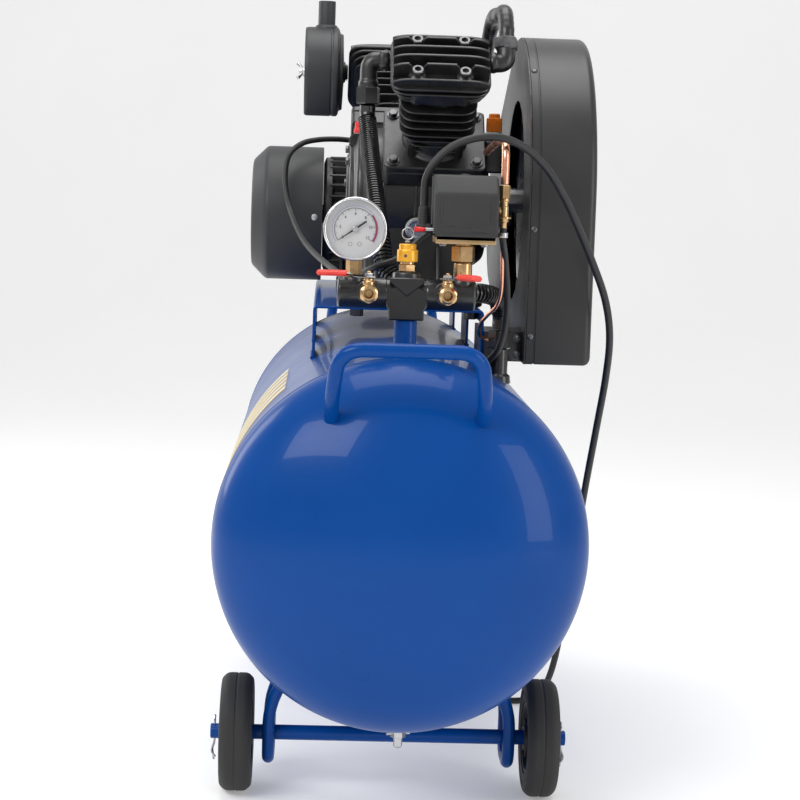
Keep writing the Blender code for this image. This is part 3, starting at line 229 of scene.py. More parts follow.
def addPiece(name, parts, body="frame", stands=(), sharp=34):
    # one object from several shapes, each with its own finish, seams closed and faces turned outwards
    mesh = bpy.data.meshes.new(name)
    shape = merged(*[p[0] for p in parts])
    points = shape[0] + [middleX, 0, 0]
    mesh.vertices.add(len(points))
    mesh.vertices.foreach_set("co", points.astype(np.float32).ravel())
    mesh.loops.add(len(shape[1]))
    mesh.loops.foreach_set("vertex_index", shape[1].astype(np.int32))
    mesh.polygons.add(len(shape[2]))
    starts = np.concatenate([[0], np.cumsum(shape[2])[:-1]])
    mesh.polygons.foreach_set("loop_start", starts.astype(np.int32))
    finishes = list(dict.fromkeys(p[1] for p in parts))
    for finish in finishes:
        mesh.materials.append(finish)
    index = np.concatenate([np.full(len(p[0][2]), finishes.index(p[1])) for p in parts])
    mesh.polygons.foreach_set("material_index", index.astype(np.int32))
    mesh.update(calc_edges=True)
    mesh.validate()
    bm = bmesh.new()
    bm.from_mesh(mesh)
    bmesh.ops.remove_doubles(bm, verts=bm.verts, dist=2e-6)
    bmesh.ops.recalc_face_normals(bm, faces=bm.faces)
    bm.to_mesh(mesh)
    bm.free()
    mesh.shade_smooth()
    mesh.set_sharp_from_angle(angle=math.radians(sharp))
    thing = bpy.data.objects.new(name, mesh)
    bpy.context.scene.collection.objects.link(thing)
    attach(thing, body)
    if stands:
        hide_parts(*stands)
    return thing


def textShape(words, tall, place):
    # flat figures on a face that looks along -Y, given a little thickness
    curve = bpy.data.curves.new("figures", "FONT")
    curve.body, curve.size, curve.align_x, curve.align_y = words, tall, "CENTER", "CENTER"
    curve.extrude, curve.resolution_u = 0.00008, 3
    text = bpy.data.objects.new("figures", curve)
    bpy.context.scene.collection.objects.link(text)
    bpy.context.view_layer.update()
    mesh = bpy.data.meshes.new_from_object(text.evaluated_get(bpy.context.evaluated_depsgraph_get()))
    bpy.data.objects.remove(text)
    points = np.zeros(len(mesh.vertices) * 3)
    mesh.vertices.foreach_get("co", points)
    corners = np.zeros(len(mesh.loops), np.int64)
    mesh.loops.foreach_get("vertex_index", corners)
    sizes = np.zeros(len(mesh.polygons), np.int64)
    mesh.polygons.foreach_get("loop_total", sizes)
    upright = Matrix.Translation(place) @ Matrix.Rotation(math.pi / 2, 4, "X")
    return moved((points.reshape(-1, 3), corners, sizes), upright)


# finishes
def makeFinish(name, look):
    # paint, metal, rubber, plastic or paper: a slow change of colour and gloss, a fine grain as bump, and
    # a faint glow of its own where the look asks for one
    material = bpy.data.materials.new(name)
    material.use_nodes = True
    nodes, links = material.node_tree.nodes, material.node_tree.links
    shader = nodes["Principled BSDF"]
    shader.inputs["Metallic"].default_value = look.get("metal", 0.0)
    shader.inputs["Coat Weight"].default_value = look.get("coat", 0.0)
    shader.inputs["Coat Roughness"].default_value = look.get("coatRough", 0.05)
    shader.inputs["Specular IOR Level"].default_value = look.get("shine", 0.5)
    where = nodes.new("ShaderNodeTexCoord")
    slow = nodes.new("ShaderNodeTexNoise")
    slow.inputs["Scale"].default_value = look.get("patch", 14)
    slow.inputs["Detail"].default_value = 5
    slow.inputs["Roughness"].default_value = 0.62
    links.new(where.outputs["Object"], slow.inputs["Vector"])
    ramp = nodes.new("ShaderNodeValToRGB")
    ramp.color_ramp.elements[0].position, ramp.color_ramp.elements[1].position = 0.34, 0.68
    ramp.color_ramp.elements[0].color = (*look["base"], 1)
    ramp.color_ramp.elements[1].color = (*look["second"], 1)
    links.new(slow.outputs["Fac"], ramp.inputs["Fac"])
    links.new(ramp.outputs["Color"], shader.inputs["Base Color"])
    gloss = nodes.new("ShaderNodeMapRange")
    gloss.inputs["To Min"].default_value, gloss.inputs["To Max"].default_value = look["rough"]
    gloss.inputs["From Min"].default_value, gloss.inputs["From Max"].default_value = 0.3, 0.7
    links.new(slow.outputs["Fac"], gloss.inputs["Value"])
    links.new(gloss.outputs["Result"], shader.inputs["Roughness"])
    fine = nodes.new("ShaderNodeTexNoise")
    fine.inputs["Scale"].default_value = look.get("grain", 600)
    fine.inputs["Detail"].default_value = 3
    bump = nodes.new("ShaderNodeBump")
    bump.inputs["Strength"].default_value = look.get("bump", 0.2)
    bump.inputs["Distance"].default_value = look.get("depth", 0.0004)
    if "brushed" in look:
        stretch = nodes.new("ShaderNodeMapping")
        stretch.inputs["Scale"].default_value = look["brushed"]
        links.new(where.outputs["Object"], stretch.inputs["Vector"])
        links.new(stretch.outputs["Vector"], fine.inputs["Vector"])
    else:
        links.new(where.outputs["Object"], fine.inputs["Vector"])
    links.new(fine.outputs["Fac"], bump.inputs["Height"])
    links.new(bump.outputs["Normal"], shader.inputs["Normal"])
    if "glow" in look:
        shader.inputs["Emission Color"].default_value = (1, 1, 1, 1)
        shader.inputs["Emission Strength"].default_value = look["glow"]
    return material


bluePaint = makeFinish("bluePaint", dict(base=(0.0004, 0.050, 0.240), second=(0.0006, 0.056, 0.268),
    rough=(0.26, 0.34), coat=0.16, coatRough=0.03, shine=0.10, grain=95, bump=0.05, depth=0.0010, patch=6))
blackGloss = makeFinish("blackGloss", dict(base=(0.006, 0.006, 0.0065), second=(0.010, 0.010, 0.0105),
    rough=(0.24, 0.38), coat=0.4, coatRough=0.12, grain=260, bump=0.12, depth=0.0006, patch=30))
satinBlack = makeFinish("satinBlack", dict(base=(0.012, 0.012, 0.0125), second=(0.018, 0.018, 0.0185),
    rough=(0.36, 0.50), coat=0.15, coatRough=0.3, grain=900, bump=0.10, depth=0.0003, patch=9))
fanGrey = makeFinish("fanGrey", dict(base=(0.024, 0.025, 0.027), second=(0.032, 0.033, 0.035),
    rough=(0.42, 0.55), grain=1100, bump=0.10, depth=0.0003, patch=8))
castBlack = makeFinish("castBlack", dict(base=(0.006, 0.006, 0.006), second=(0.014, 0.014, 0.0145),
    rough=(0.28, 0.46), coat=0.3, coatRough=0.25, grain=520, bump=0.45, depth=0.0005, patch=60))
# a flat, barely glossy near-black: painted shade for the inside of the louvre slits
louvreShadePaint = makeFinish("louvreShadePaint", dict(base=(0.0015, 0.0015, 0.0015), second=(0.002, 0.002, 0.002),
    rough=(0.8, 0.9), shine=0.1))
tyreRubber = makeFinish("tyreRubber", dict(base=(0.016, 0.016, 0.016), second=(0.026, 0.025, 0.024),
    rough=(0.60, 0.78), grain=1500, bump=0.18, depth=0.0003, patch=22))
cordRubber = makeFinish("cordRubber", dict(base=(0.012, 0.012, 0.012), second=(0.020, 0.020, 0.020),
    rough=(0.42, 0.55), grain=1300, bump=0.10, depth=0.0002, patch=40))
mouldedBlack = makeFinish("mouldedBlack", dict(base=(0.018, 0.0185, 0.019), second=(0.025, 0.0255, 0.026),
    rough=(0.50, 0.62), grain=2200, bump=0.25, depth=0.0002, patch=18))
goldZinc = makeFinish("goldZinc", dict(base=(0.46, 0.33, 0.14), second=(0.56, 0.38, 0.22), rough=(0.26, 0.40),
    metal=1.0, grain=700, bump=0.08, depth=0.0002, patch=50))
brassMetal = makeFinish("brassMetal", dict(base=(0.56, 0.36, 0.17), second=(0.66, 0.44, 0.23),
    rough=(0.18, 0.32), metal=1.0, grain=600, bump=0.04, depth=0.0001, patch=60, brushed=(1, 1, 3)))
copperMetal = makeFinish("copperMetal", dict(base=(0.80, 0.36, 0.22), second=(0.86, 0.46, 0.32),
    rough=(0.20, 0.34), metal=1.0, grain=160, bump=0.02, depth=0.0001, patch=30))
chromeMetal = makeFinish("chromeMetal", dict(base=(0.78, 0.78, 0.78), second=(0.70, 0.70, 0.71),
    rough=(0.07, 0.14), metal=1.0, grain=300, bump=0.02, depth=0.0002, patch=40))
zincSteel = makeFinish("zincSteel", dict(base=(0.46, 0.46, 0.47), second=(0.60, 0.60, 0.61),
    rough=(0.24, 0.42), metal=1.0, grain=900, bump=0.10, depth=0.0002, patch=80))
darkSteel = makeFinish("darkSteel", dict(base=(0.10, 0.10, 0.105), second=(0.19, 0.19, 0.195),
    rough=(0.30, 0.48), metal=1.0, grain=900, bump=0.14, depth=0.0002, patch=90))
turnedIron = makeFinish("turnedIron", dict(base=(0.30, 0.30, 0.31), second=(0.40, 0.40, 0.41),
    rough=(0.22, 0.36), metal=1.0, grain=400, bump=0.15, depth=0.0002, patch=60, brushed=(9, 1, 1)))
castAluminium = makeFinish("castAluminium", dict(base=(0.42, 0.43, 0.44), second=(0.50, 0.51, 0.52),
    rough=(0.36, 0.50), metal=1.0, grain=800, bump=0.25, depth=0.0003, patch=50))
coralGrip = makeFinish("coralGrip", dict(base=(0.72, 0.045, 0.035), second=(0.80, 0.070, 0.050),
    rough=(0.34, 0.46), grain=1200, bump=0.08, depth=0.0002, patch=60))
redPlastic = makeFinish("redPlastic", dict(base=(0.66, 0.012, 0.012), second=(0.74, 0.02, 0.016),
    rough=(0.30, 0.42), grain=1400, bump=0.08, depth=0.0002, patch=60))
orangePlastic = makeFinish("orangePlastic", dict(base=(0.95, 0.24, 0.012), second=(1.0, 0.29, 0.02),
    rough=(0.34, 0.46), grain=1400, bump=0.08, depth=0.0002, patch=60))
yellowMetal = makeFinish("yellowMetal", dict(base=(0.90, 0.42, 0.02), second=(0.95, 0.50, 0.04),
    rough=(0.30, 0.42), metal=0.35, grain=800, bump=0.10, depth=0.0002, patch=60, coat=0.3))
dialWhite = makeFinish("dialWhite", dict(base=(0.46, 0.465, 0.47), second=(0.50, 0.505, 0.51),
    rough=(0.35, 0.45), grain=900, bump=0.03, depth=0.0001, patch=20))
dialBlack = makeFinish("dialBlack", dict(base=(0.012, 0.012, 0.014), second=(0.018, 0.018, 0.02),
    rough=(0.40, 0.5), grain=900, bump=0.03, depth=0.0001))
dialBlue = makeFinish("dialBlue", dict(base=(0.16, 0.14, 0.42), second=(0.18, 0.16, 0.46), rough=(0.40, 0.5),
    grain=900, bump=0.03, depth=0.0001))
dialRed = makeFinish("dialRed", dict(base=(0.30, 0.02, 0.04), second=(0.34, 0.025, 0.05), rough=(0.40, 0.5),
    grain=900, bump=0.03, depth=0.0001))
goldFilm = makeFinish("goldFilm", dict(base=(0.78, 0.58, 0.20), second=(0.86, 0.68, 0.30), rough=(0.28, 0.38),
    grain=300, bump=0.03, depth=0.0002, coat=0.4))
creamFilm = makeFinish("creamFilm", dict(base=(0.80, 0.76, 0.62), second=(0.84, 0.80, 0.68),
    rough=(0.28, 0.38), grain=300, bump=0.03, depth=0.0002, coat=0.4))
print("finishes made")

# camera, floor and light
lens = dict(place=(-0.0906, -2.3657, 0.6538), length=91.6, right=2.23, down=6.18, roll=1.85)
camera = bpy.data.objects.new("camera", bpy.data.cameras.new("camera"))
camera.data.lens, camera.data.sensor_width = lens["length"], 36
camera.matrix_world = (Matrix.Translation(lens["place"]) @ Matrix.Rotation(math.radians(-lens["right"]), 4,
    "Z") @ Matrix.Rotation(math.radians(90 - lens["down"]), 4,
    "X") @ Matrix.Rotation(math.radians(lens["roll"]), 4, "Z"))
bpy.context.scene.collection.objects.link(camera)
bpy.context.scene.camera = camera

studio = dict(depth=5.0, width=9.0, bend=2.0, tall=6.0)
sweepLine = softLine([(-7.0, 0.0), (studio["depth"], 0.0), (studio["depth"], studio["tall"])], studio["bend"],
    24)
sweepRows = np.stack([np.stack([np.full(len(sweepLine), x), sweepLine[:, 0], sweepLine[:, 1] - 0.0002],
    1) for x in (-studio["width"], studio["width"])], 1)
floorMesh = bpy.data.meshes.new("floor")
floorShape = gridShape(sweepRows, False, False, False)
floorMesh.from_pydata(floorShape[0].tolist(), [], floorShape[1].reshape(-1, 4)[:, ::-1].tolist())
floorMesh.materials.append(makeFinish("floorPaper", dict(base=(0.84, 0.84, 0.84), second=(0.86, 0.86, 0.86),
    rough=(0.8, 0.9), glow=0.24, grain=80, bump=0.02, depth=0.0005, patch=2)))
floorMesh.shade_smooth()
floor = bpy.data.objects.new("floor", floorMesh)
bpy.context.scene.collection.objects.link(floor)

world = bpy.data.worlds.new("studio")
bpy.context.scene.world = world
world.use_nodes = True
world.node_tree.nodes["Background"].inputs["Color"].default_value = (1.0, 1.0, 1.0, 1)
world.node_tree.nodes["Background"].inputs["Strength"].default_value = 0.5
bpy.context.scene.view_settings.view_transform = "Standard"


def addLight(name, place, aim, size, power):
    light = bpy.data.lights.new(name, "AREA")
    light.shape, light.size, light.size_y, light.energy = "RECTANGLE", size[0], size[1], power
    thing = bpy.data.objects.new(name, light)
    direction = Vector(aim) - Vector(place)
    thing.matrix_world = Matrix.Translation(place) @ direction.to_track_quat("-Z", "Y").to_matrix().to_4x4()
    bpy.context.scene.collection.objects.link(thing)


addLight("keyLight", (-1.5, -2.0, 2.1), (0, 0, 0.5), (1.7, 1.0), 40)
addLight("fillLight", (2.3, -1.7, 1.1), (0, 0, 0.5), (0.9, 1.9), 20)
addLight("topLight", (0.0, 0.1, 2.6), (0, 0, 0.5), (1.6, 1.6), 30)
addLight("rimLight", (-2.2, 1.4, 1.3), (0, 0, 0.6), (0.8, 1.6), 17)
print("studio made")

# tank
tank = dict(radius=0.185, half=0.400, head=0.0925, height=0.296, steps=192)
a = np.linspace(0, np.pi / 2, 44)
headLine = np.stack([tank["radius"] * np.sin(a), tank["half"] + tank["head"] * np.cos(a)], 1)
bead = np.linspace(-1, 1, 9)
beadLine = np.stack([tank["radius"] + 0.0008 * np.cos(bead * np.pi / 2) ** 2,
    tank["half"] - 0.006 - 0.0035 * bead], 1)
tankLine = np.concatenate([headLine, beadLine])
tankLine = np.concatenate([tankLine, tankLine[::-1] * [1, -1]])
tankShell = turnedShape(tankLine, (0, 0, tank["height"]), (0, 1, 0), tank["steps"])


def bandShape(start, end, low, high, slant, lift=0.0005):
    # a strip on the shell's left flank: angle goes from low to high, and its y leans with the angle
    s = np.linspace(0, 1, 20)[:, None]
    phi = np.radians(low + (high - low) * s)
    rows = []
    for rise, y in ((-0.0002, start), (lift, start), (lift, end), (-0.0002, end)):
        r = tank["radius"] + rise
        rows.append(np.concatenate([-r * np.cos(phi), y + slant * s, tank["height"] + r * np.sin(phi)], 1))
    return gridShape(np.stack(rows, 1))


decal = dict(first=-0.335, step=0.046, wide=0.020, low=18, high=50, slant=0.045)
bands = []
for index in range(5):
    start = decal["first"] + decal["step"] * index
    bands.append((bandShape(start, start + decal["wide"], decal["low"], decal["high"], decal["slant"]),
        goldFilm))
    bands.append((bandShape(start + decal["wide"] + 0.004, start + decal["wide"] + 0.009, decal["low"],
        decal["high"], decal["slant"]), creamFilm))
addPiece("tankShell", [(tankShell, bluePaint)], stands=["tank"])
addPiece("tankStripes", bands)


def weldShape(place, direction, radius, thick=0.0026):
    # a low ring of overlapping beads, its thickness rising and falling round the joint
    t = np.linspace(0, 2 * np.pi, 96, endpoint=False)
    ringPath = np.stack([radius * np.cos(t), radius * np.sin(t), 0 * t], 1)
    return moved(tubeShape(ringPath, thick * (1 + 0.10 * np.sin(t * 23)), 10, ring=True),
        facing(place, direction))


drain = dict(x=0.006, y=-0.338, top=0.115)
drainParts = [(turnedShape(softLine([(0, 0.0), (0.013, 0.0), (0.013, -0.010), (0.009, -0.012),
    (0.009, -0.018), (0, -0.018)], 0.0015, 3), (drain["x"], drain["y"], drain["top"]), (0, 0, 1), 32),
    darkSteel), (prismShape(ngonLine(6, 0.014), -0.027, -0.018,
    Matrix.Translation((drain["x"], drain["y"], drain["top"]))), zincSteel),
    (turnedShape([(0, -0.027), (0.0045, -0.027), (0.0045, -0.036), (0.003, -0.038), (0, -0.038)],
    (drain["x"], drain["y"], drain["top"]), (0, 0, 1), 24), zincSteel),
    (tubeShape(np.array([(drain["x"] - 0.012, drain["y"] - 0.003, drain["top"] - 0.0225),
    (drain["x"] + 0.012, drain["y"] + 0.003, drain["top"] - 0.0225)]), 0.0020, 12), zincSteel)]
addPiece("drainCock", drainParts)
print("tank made")

# handles, legs, feet
handle = dict(radius=0.007, half=0.072, y=0.500, z=0.497)
for name, side in (("front_handle", -1), ("rear_handle", 1)):
    right = [(handle["half"], side * (tank["half"] + 0.035), handle["z"] - 0.085),
        (handle["half"], side * (handle["y"] - 0.020), handle["z"] - 0.045),
        (handle["half"] - 0.006, side * handle["y"], handle["z"])]
    left = [(-x, y, z) for x, y, z in reversed(right)]
    route = softLine(right + left, 0.024, 14)
    t = np.concatenate([[0], np.cumsum(np.linalg.norm(np.diff(route, axis=0), axis=1))])
    dense = np.linspace(0, t[-1], 150)
    route = np.stack([np.interp(dense, t, route[:, c]) for c in range(3)], 1)
    feet = 0.0018 * (np.exp(-(dense / 0.012) ** 2) + np.exp(-((t[-1] - dense) / 0.012) ** 2))
    parts = [(tubeShape(route, handle["radius"] + feet, 28), bluePaint)]
    for x in (-handle["half"], handle["half"]):
        place = (x, side * (tank["half"] + 0.0445), handle["z"] - 0.067)
        parts.append((weldShape(place, (x * 2.2, side * 0.55, 1.0), 0.0085, 0.0022), bluePaint))
    addPiece(name.replace("_", "") + "Tube", parts, stands=[name])

legs = dict(radius=0.0065)
for name, x, nearY, bottom in (("front_leg_left", -0.128, -0.2518, 0.028),
    ("front_leg_right", 0.128, -0.2518, 0.028), ("rear_leg_left", -0.128, 0.260, 0.0103),
    ("rear_leg_right", 0.128, 0.260, 0.0103)):
    inner = math.copysign(abs(x) - 0.033, x)
    limb = [(inner, nearY, 0.156), (x, nearY, 0.096), (x, nearY, bottom + legs["radius"])]
    back = [(px, nearY + 0.060, pz) for px, py, pz in reversed(limb)]
    path = softLine(limb + back, 0.022, 12)
    parts = [(tubeShape(path, legs["radius"], 24), bluePaint)]
    for y in (nearY, nearY + 0.060):
        parts.append((weldShape((inner * 1.085, y, 0.1405), (-inner * 0.55, 0, 1), 0.0080, 0.0018),
            bluePaint))
    addPiece(name.replace("_", "") + "Tube", parts, stands=[name])
for side, x in (("left", -0.128), ("right", 0.128)):
    pad = softBox((x - 0.014, 0.270, 0.0), (x + 0.014, 0.310, 0.010), 0.0025)
    grooves = [softBox((x - 0.0143, 0.277 + 0.007 * k, 0.0), (x + 0.0143, 0.2795 + 0.007 * k, 0.0042),
        0.0008) for k in range(4)]
    addPiece("rubberFoot" + side.capitalize(), [(merged(pad, *grooves), tyreRubber)],
        stands=["rubber_foot_" + side])

# axle, washers and split pins
axle = dict(radius=0.008, half=0.190, y=-0.237, z=0.0625)
axleLine = softLine([(0, -axle["half"]), (axle["radius"], -axle["half"]), (axle["radius"], axle["half"]),
    (0, axle["half"])], 0.0015, 4)
addPiece("axleRod", [(turnedShape(axleLine, (0, axle["y"], axle["z"]), (1, 0, 0), 40), bluePaint)],
    stands=["axle"])
pinParts = []
for side in (-1, 1):
    face = side * 0.1795
    pinParts.append((turnedShape([(0.0084, 0), (0.0155, 0), (0.0155, 0.0013), (0.0084, 0.0013)],
        (face if side > 0 else face - 0.0013, axle["y"], axle["z"]), (1, 0, 0), 40, ring=True), zincSteel))
    pinX = side * 0.1855
    wire = [(pinX, axle["y"], axle["z"] + 0.0155), (pinX, axle["y"] + 0.002, axle["z"] + 0.0165),
        (pinX, axle["y"] + 0.0032, axle["z"] + 0.0140), (pinX, axle["y"] + 0.0009, axle["z"] + 0.0105),
        (pinX, axle["y"] + 0.0008, axle["z"] - 0.010), (pinX + side * 0.0025, axle["y"] + 0.006,
        axle["z"] - 0.020), (pinX + side * 0.0010, axle["y"] + 0.009, axle["z"] - 0.0335)]
    pinParts.append((tubeShape(smoothPath(wire, 0.002), 0.0012, 10), zincSteel))
    other = [(x, 2 * axle["y"] - y, z) for x, y, z in wire]
    other[-1] = (pinX - side * 0.0015, axle["y"] - 0.0085, axle["z"] - 0.026)
    pinParts.append((tubeShape(smoothPath(other, 0.002), 0.0012, 10), zincSteel))
addPiece("axlePins", pinParts)

# wheels
wheel = dict(radius=0.0625, width=0.034, inner=0.145, hub=0.038)
for side, sign in (("left", -1), ("right", 1)):
    centre = (sign * (wheel["inner"] + wheel["width"] / 2), axle["y"], axle["z"])
    half = wheel["width"] / 2
    tyreLine = softLine([(wheel["hub"] + 0.0003, half - 0.001), (0.046, half - 0.0002),
        (0.0475, half - 0.0016), (0.0500, half - 0.0016), (0.0515, half), (wheel["radius"] - 0.006, half),
        (wheel["radius"], half - 0.006), (wheel["radius"], 0.0012), (wheel["radius"] - 0.0006, 0.0006),
        (wheel["radius"] - 0.0006, -0.0006), (wheel["radius"], -0.0012), (wheel["radius"], 0.006 - half),
        (wheel["radius"] - 0.006, -half), (0.0515, -half), (0.0500, 0.0016 - half), (0.0475, 0.0016 - half),
        (0.046, 0.0002 - half), (wheel["hub"] + 0.0003, 0.001 - half)],
        [0.0006, 0.001, 0.001, 0.001, 0.001, 0.006, 0.006, 0.0006, 0.0003, 0.0003, 0.0006, 0.006, 0.006,
        0.001, 0.001, 0.001, 0.001, 0.0006], 4, closed=True)
    addPiece("tyre" + side.capitalize(), [(turnedShape(tyreLine, centre, (1, 0, 0), 112, ring=True),
        tyreRubber)], body="wheel_" + side, stands=["wheel_tyre_" + side])
    hubLine = softLine([(0.0083, half), (0.0135, half), (0.0140, 0.006), (0.030, 0.005),
        (0.0345, half - 0.002), (0.038, half - 0.002), (0.038, 0.002 - half), (0.0345, 0.002 - half),
        (0.030, -0.005), (0.0140, -0.006), (0.0135, -half), (0.0083, -half)], 0.0012, 3, closed=True)
    parts = [(turnedShape(hubLine, centre, (1, 0, 0), 72, ring=True), mouldedBlack)]
    for index in range(5):
        turn = Matrix.Rotation(index * 2 * math.pi / 5, 4, "X")
        for face in (-1, 1):
            rib = softBox((face * 0.0085 - 0.0045, -0.0018, 0.012), (face * 0.0085 + 0.0045, 0.0018, 0.0345),
                0.0008)
            parts.append((moved(rib, Matrix.Translation(centre) @ turn), mouldedBlack))
    addPiece("hub" + side.capitalize(), parts, body="wheel_" + side, stands=["wheel_hub_" + side])
print("running gear made")

# deck
deck = dict(top=0.5145, half=0.0935, sheet=0.003, front=-0.150, rear=0.420)
bend = 0.006
outer = softLine([(-deck["half"], deck["top"] - 0.014), (-deck["half"], deck["top"]),
    (deck["half"], deck["top"]), (deck["half"], deck["top"] - 0.014)], bend, 7)
inside = softLine([(-deck["half"] + deck["sheet"], deck["top"] - 0.014),
    (-deck["half"] + deck["sheet"], deck["top"] - deck["sheet"]),
    (deck["half"] - deck["sheet"], deck["top"] - deck["sheet"]),
    (deck["half"] - deck["sheet"], deck["top"] - 0.014)], bend - deck["sheet"], 7)
deckParts = [(prismShape(np.concatenate([outer, inside[::-1]]), deck["front"], deck["rear"], alongY, 0.0005),
    bluePaint)]
footZ = tank["height"] + math.sqrt(tank["radius"] ** 2 - deck["half"] ** 2) + 0.0006  # on the tank's shell
lineUp = deck["top"] - 0.0139
deckLegs = ([(deck["front"], lineUp), (deck["front"], footZ), (-0.055, footZ), (-0.055, lineUp - 0.006)],
    [(0.085, lineUp - 0.006), (0.085, footZ), (0.175, footZ), (0.175, lineUp - 0.006)],
    [(0.345, lineUp - 0.006), (0.345, footZ), (deck["rear"], footZ), (deck["rear"], lineUp)])
for low in (-deck["half"], deck["half"] - deck["sheet"]):
    for leg in deckLegs:
        deckParts.append((prismShape(leg, low, low + deck["sheet"], alongX, 0.0004), bluePaint))
for x in (-deck["half"] - 0.0001, deck["half"] + 0.0001):
    for first, last in ((deck["front"] + 0.006, -0.061), (0.091, 0.169), (0.351, deck["rear"] - 0.006)):
        y = np.linspace(first, last, 60)
        seam = np.stack([np.full(60, x), y, np.full(60, footZ + 0.0006)], 1)
        deckParts.append((tubeShape(seam, 0.0019 * (1 + 0.12 * np.sin(np.arange(60) * 1.9)), 8), bluePaint))
for x in (-0.045, 0.083):
    for y in (-0.088, 0.088):
        deckParts.append((boltShape((x, y, 0.5290), (0, 0, 1), 0.013, 0.008, 0.012), zincSteel))
        deckParts.append((prismShape(ngonLine(6, 0.013), 0, 0.010, Matrix.Translation((x, y, 0.5005)),
            0.0007), darkSteel))
for x in (-0.055, 0.065):
    for y in (0.238, 0.362):
        deckParts.append((boltShape((x, y, 0.5230), (0, 0, 1), 0.013, 0.008, 0.012), zincSteel))
addPiece("deckSheet", deckParts, stands=["deck"])

# riser, manifold, safety valve
air = dict(y=-0.337, z=0.5405, half=0.069)
riserLine = softLine([(0, 0.4805), (0.0165, 0.4805), (0.0150, 0.4850), (0.0115, 0.4865), (0.0115, 0.5147),
    (0, 0.5147)], 0.0015, 4)
addPiece("riserPipe", [(turnedShape(riserLine, (0, air["y"], 0), (0, 0, 1), 48), bluePaint)],
    stands=["riser_pipe"])
pipeLine = softLine([(0, -air["half"]), (0.0135, -air["half"]), (0.0155, -air["half"] + 0.002),
    (0.0155, -0.0210), (0.0150, -0.0200), (0.0150, 0.0200), (0.0155, 0.0210), (0.0155, air["half"] - 0.002),
    (0.0135, air["half"]), (0, air["half"])], 0.0012, 3)
manifoldParts = [(turnedShape(pipeLine, (0, air["y"], air["z"]), (1, 0, 0), 64), blackGloss)]
saddle = softLine([(-0.0175, 0.5150), (0.0175, 0.5150), (0.0175, 0.5250), (0.0205, 0.5290), (0.0205, 0.5390),
    (0.0175, 0.5460), (0, 0.5530), (-0.0175, 0.5460), (-0.0205, 0.5390), (-0.0205, 0.5290),
    (-0.0175, 0.5250)], 0.0018, 4, closed=True)
manifoldParts.append((prismShape(saddle, air["y"] - 0.0150, air["y"] + 0.0150, alongY, 0.0012), blackGloss))
wedge = softLine([(-0.0170, 0.5572), (-0.0170, 0.5525), (0, 0.5385), (0.0170, 0.5525), (0.0170, 0.5572)],
    0.0010, 3, closed=True)
manifoldParts.append((prismShape(wedge, air["y"] - 0.0170, air["y"] + 0.0170, alongY, 0.0009), blackGloss))
bossLine = softLine([(0, 0.545), (0.0160, 0.548), (0.0150, 0.5545), (0.0142, 0.5615), (0.0130, 0.5625),
    (0, 0.5625)], 0.0010, 3)
manifoldParts.append((turnedShape(bossLine, (0, air["y"], 0), (0, 0, 1), 48), blackGloss))
for x in (-0.053, 0.0555):
    manifoldParts.append((turnedShape(softLine([(0, 0.548), (0.0125, 0.549), (0.0112, 0.5562), (0, 0.5562)],
        0.001, 3), (x, air["y"], 0), (0, 0, 1), 40), blackGloss))
for x in (-0.0385, 0.0385):
    manifoldParts.append((turnedShape(softLine([(0, 0.008), (0.0118, 0.008), (0.0118, 0.0162), (0, 0.0162)],
        0.001, 3), (x, air["y"], 0.5425), (0, -1, 0), 40), blackGloss))
addPiece("manifoldBlock", manifoldParts, stands=["manifold"])

safety = dict(base=0.5628)
s = safety["base"]
bodyLine = softLine([(0, s + 0.0098), (0.0100, s + 0.0098), (0.0105, s + 0.0105), (0.0105, s + 0.0212),
    (0.0098, s + 0.0220), (0.0086, s + 0.0222), (0.0086, s + 0.0270), (0.0078, s + 0.0277), (0, s + 0.0277)],
    0.0006, 3)
safetyParts = [(turnedShape(bodyLine, (0, air["y"], 0), (0, 0, 1), 64), yellowMetal),
    (prismShape(ngonLine(6, 0.0155, 0.4), 0.0, 0.0075, Matrix.Translation((0, air["y"], s)), 0.0007),
    brassMetal), (turnedShape([(0, s + 0.0075), (0.0070, s + 0.0075), (0.0070, s + 0.0099), (0, s + 0.0099)],
    (0, air["y"], 0), (0, 0, 1), 32), brassMetal), (turnedShape(softLine([(0, s + 0.0277),
    (0.0017, s + 0.0277), (0.0017, s + 0.0288), (0.0026, s + 0.0291), (0.0026, s + 0.0308), (0, s + 0.0310)],
    0.0004, 3), (0, air["y"], 0), (0, 0, 1), 24), zincSteel)]
for index in range(3):
    angle = index * 2.094 + 0.3
    hole = (0.0103 * math.cos(angle), air["y"] + 0.0103 * math.sin(angle), s + 0.016)
    safetyParts.append((turnedShape([(0, 0), (0.0016, 0), (0.0016, 0.0005), (0, 0.0005)], hole,
        (math.cos(angle), math.sin(angle), 0), 16), darkSteel))
addPiece("safetyValve", safetyParts, stands=["safety_valve"])
t = np.linspace(0, 2 * np.pi, 72, endpoint=False)
ringPath = np.stack([0.0058 * np.cos(t), air["y"] + 0 * t, s + 0.0378 + 0.0058 * np.sin(t)], 1)
addPiece("pullRing", [(tubeShape(ringPath, 0.0007, 12, ring=True), zincSteel)], body="pull_ring",
    stands=["safety_ring"])

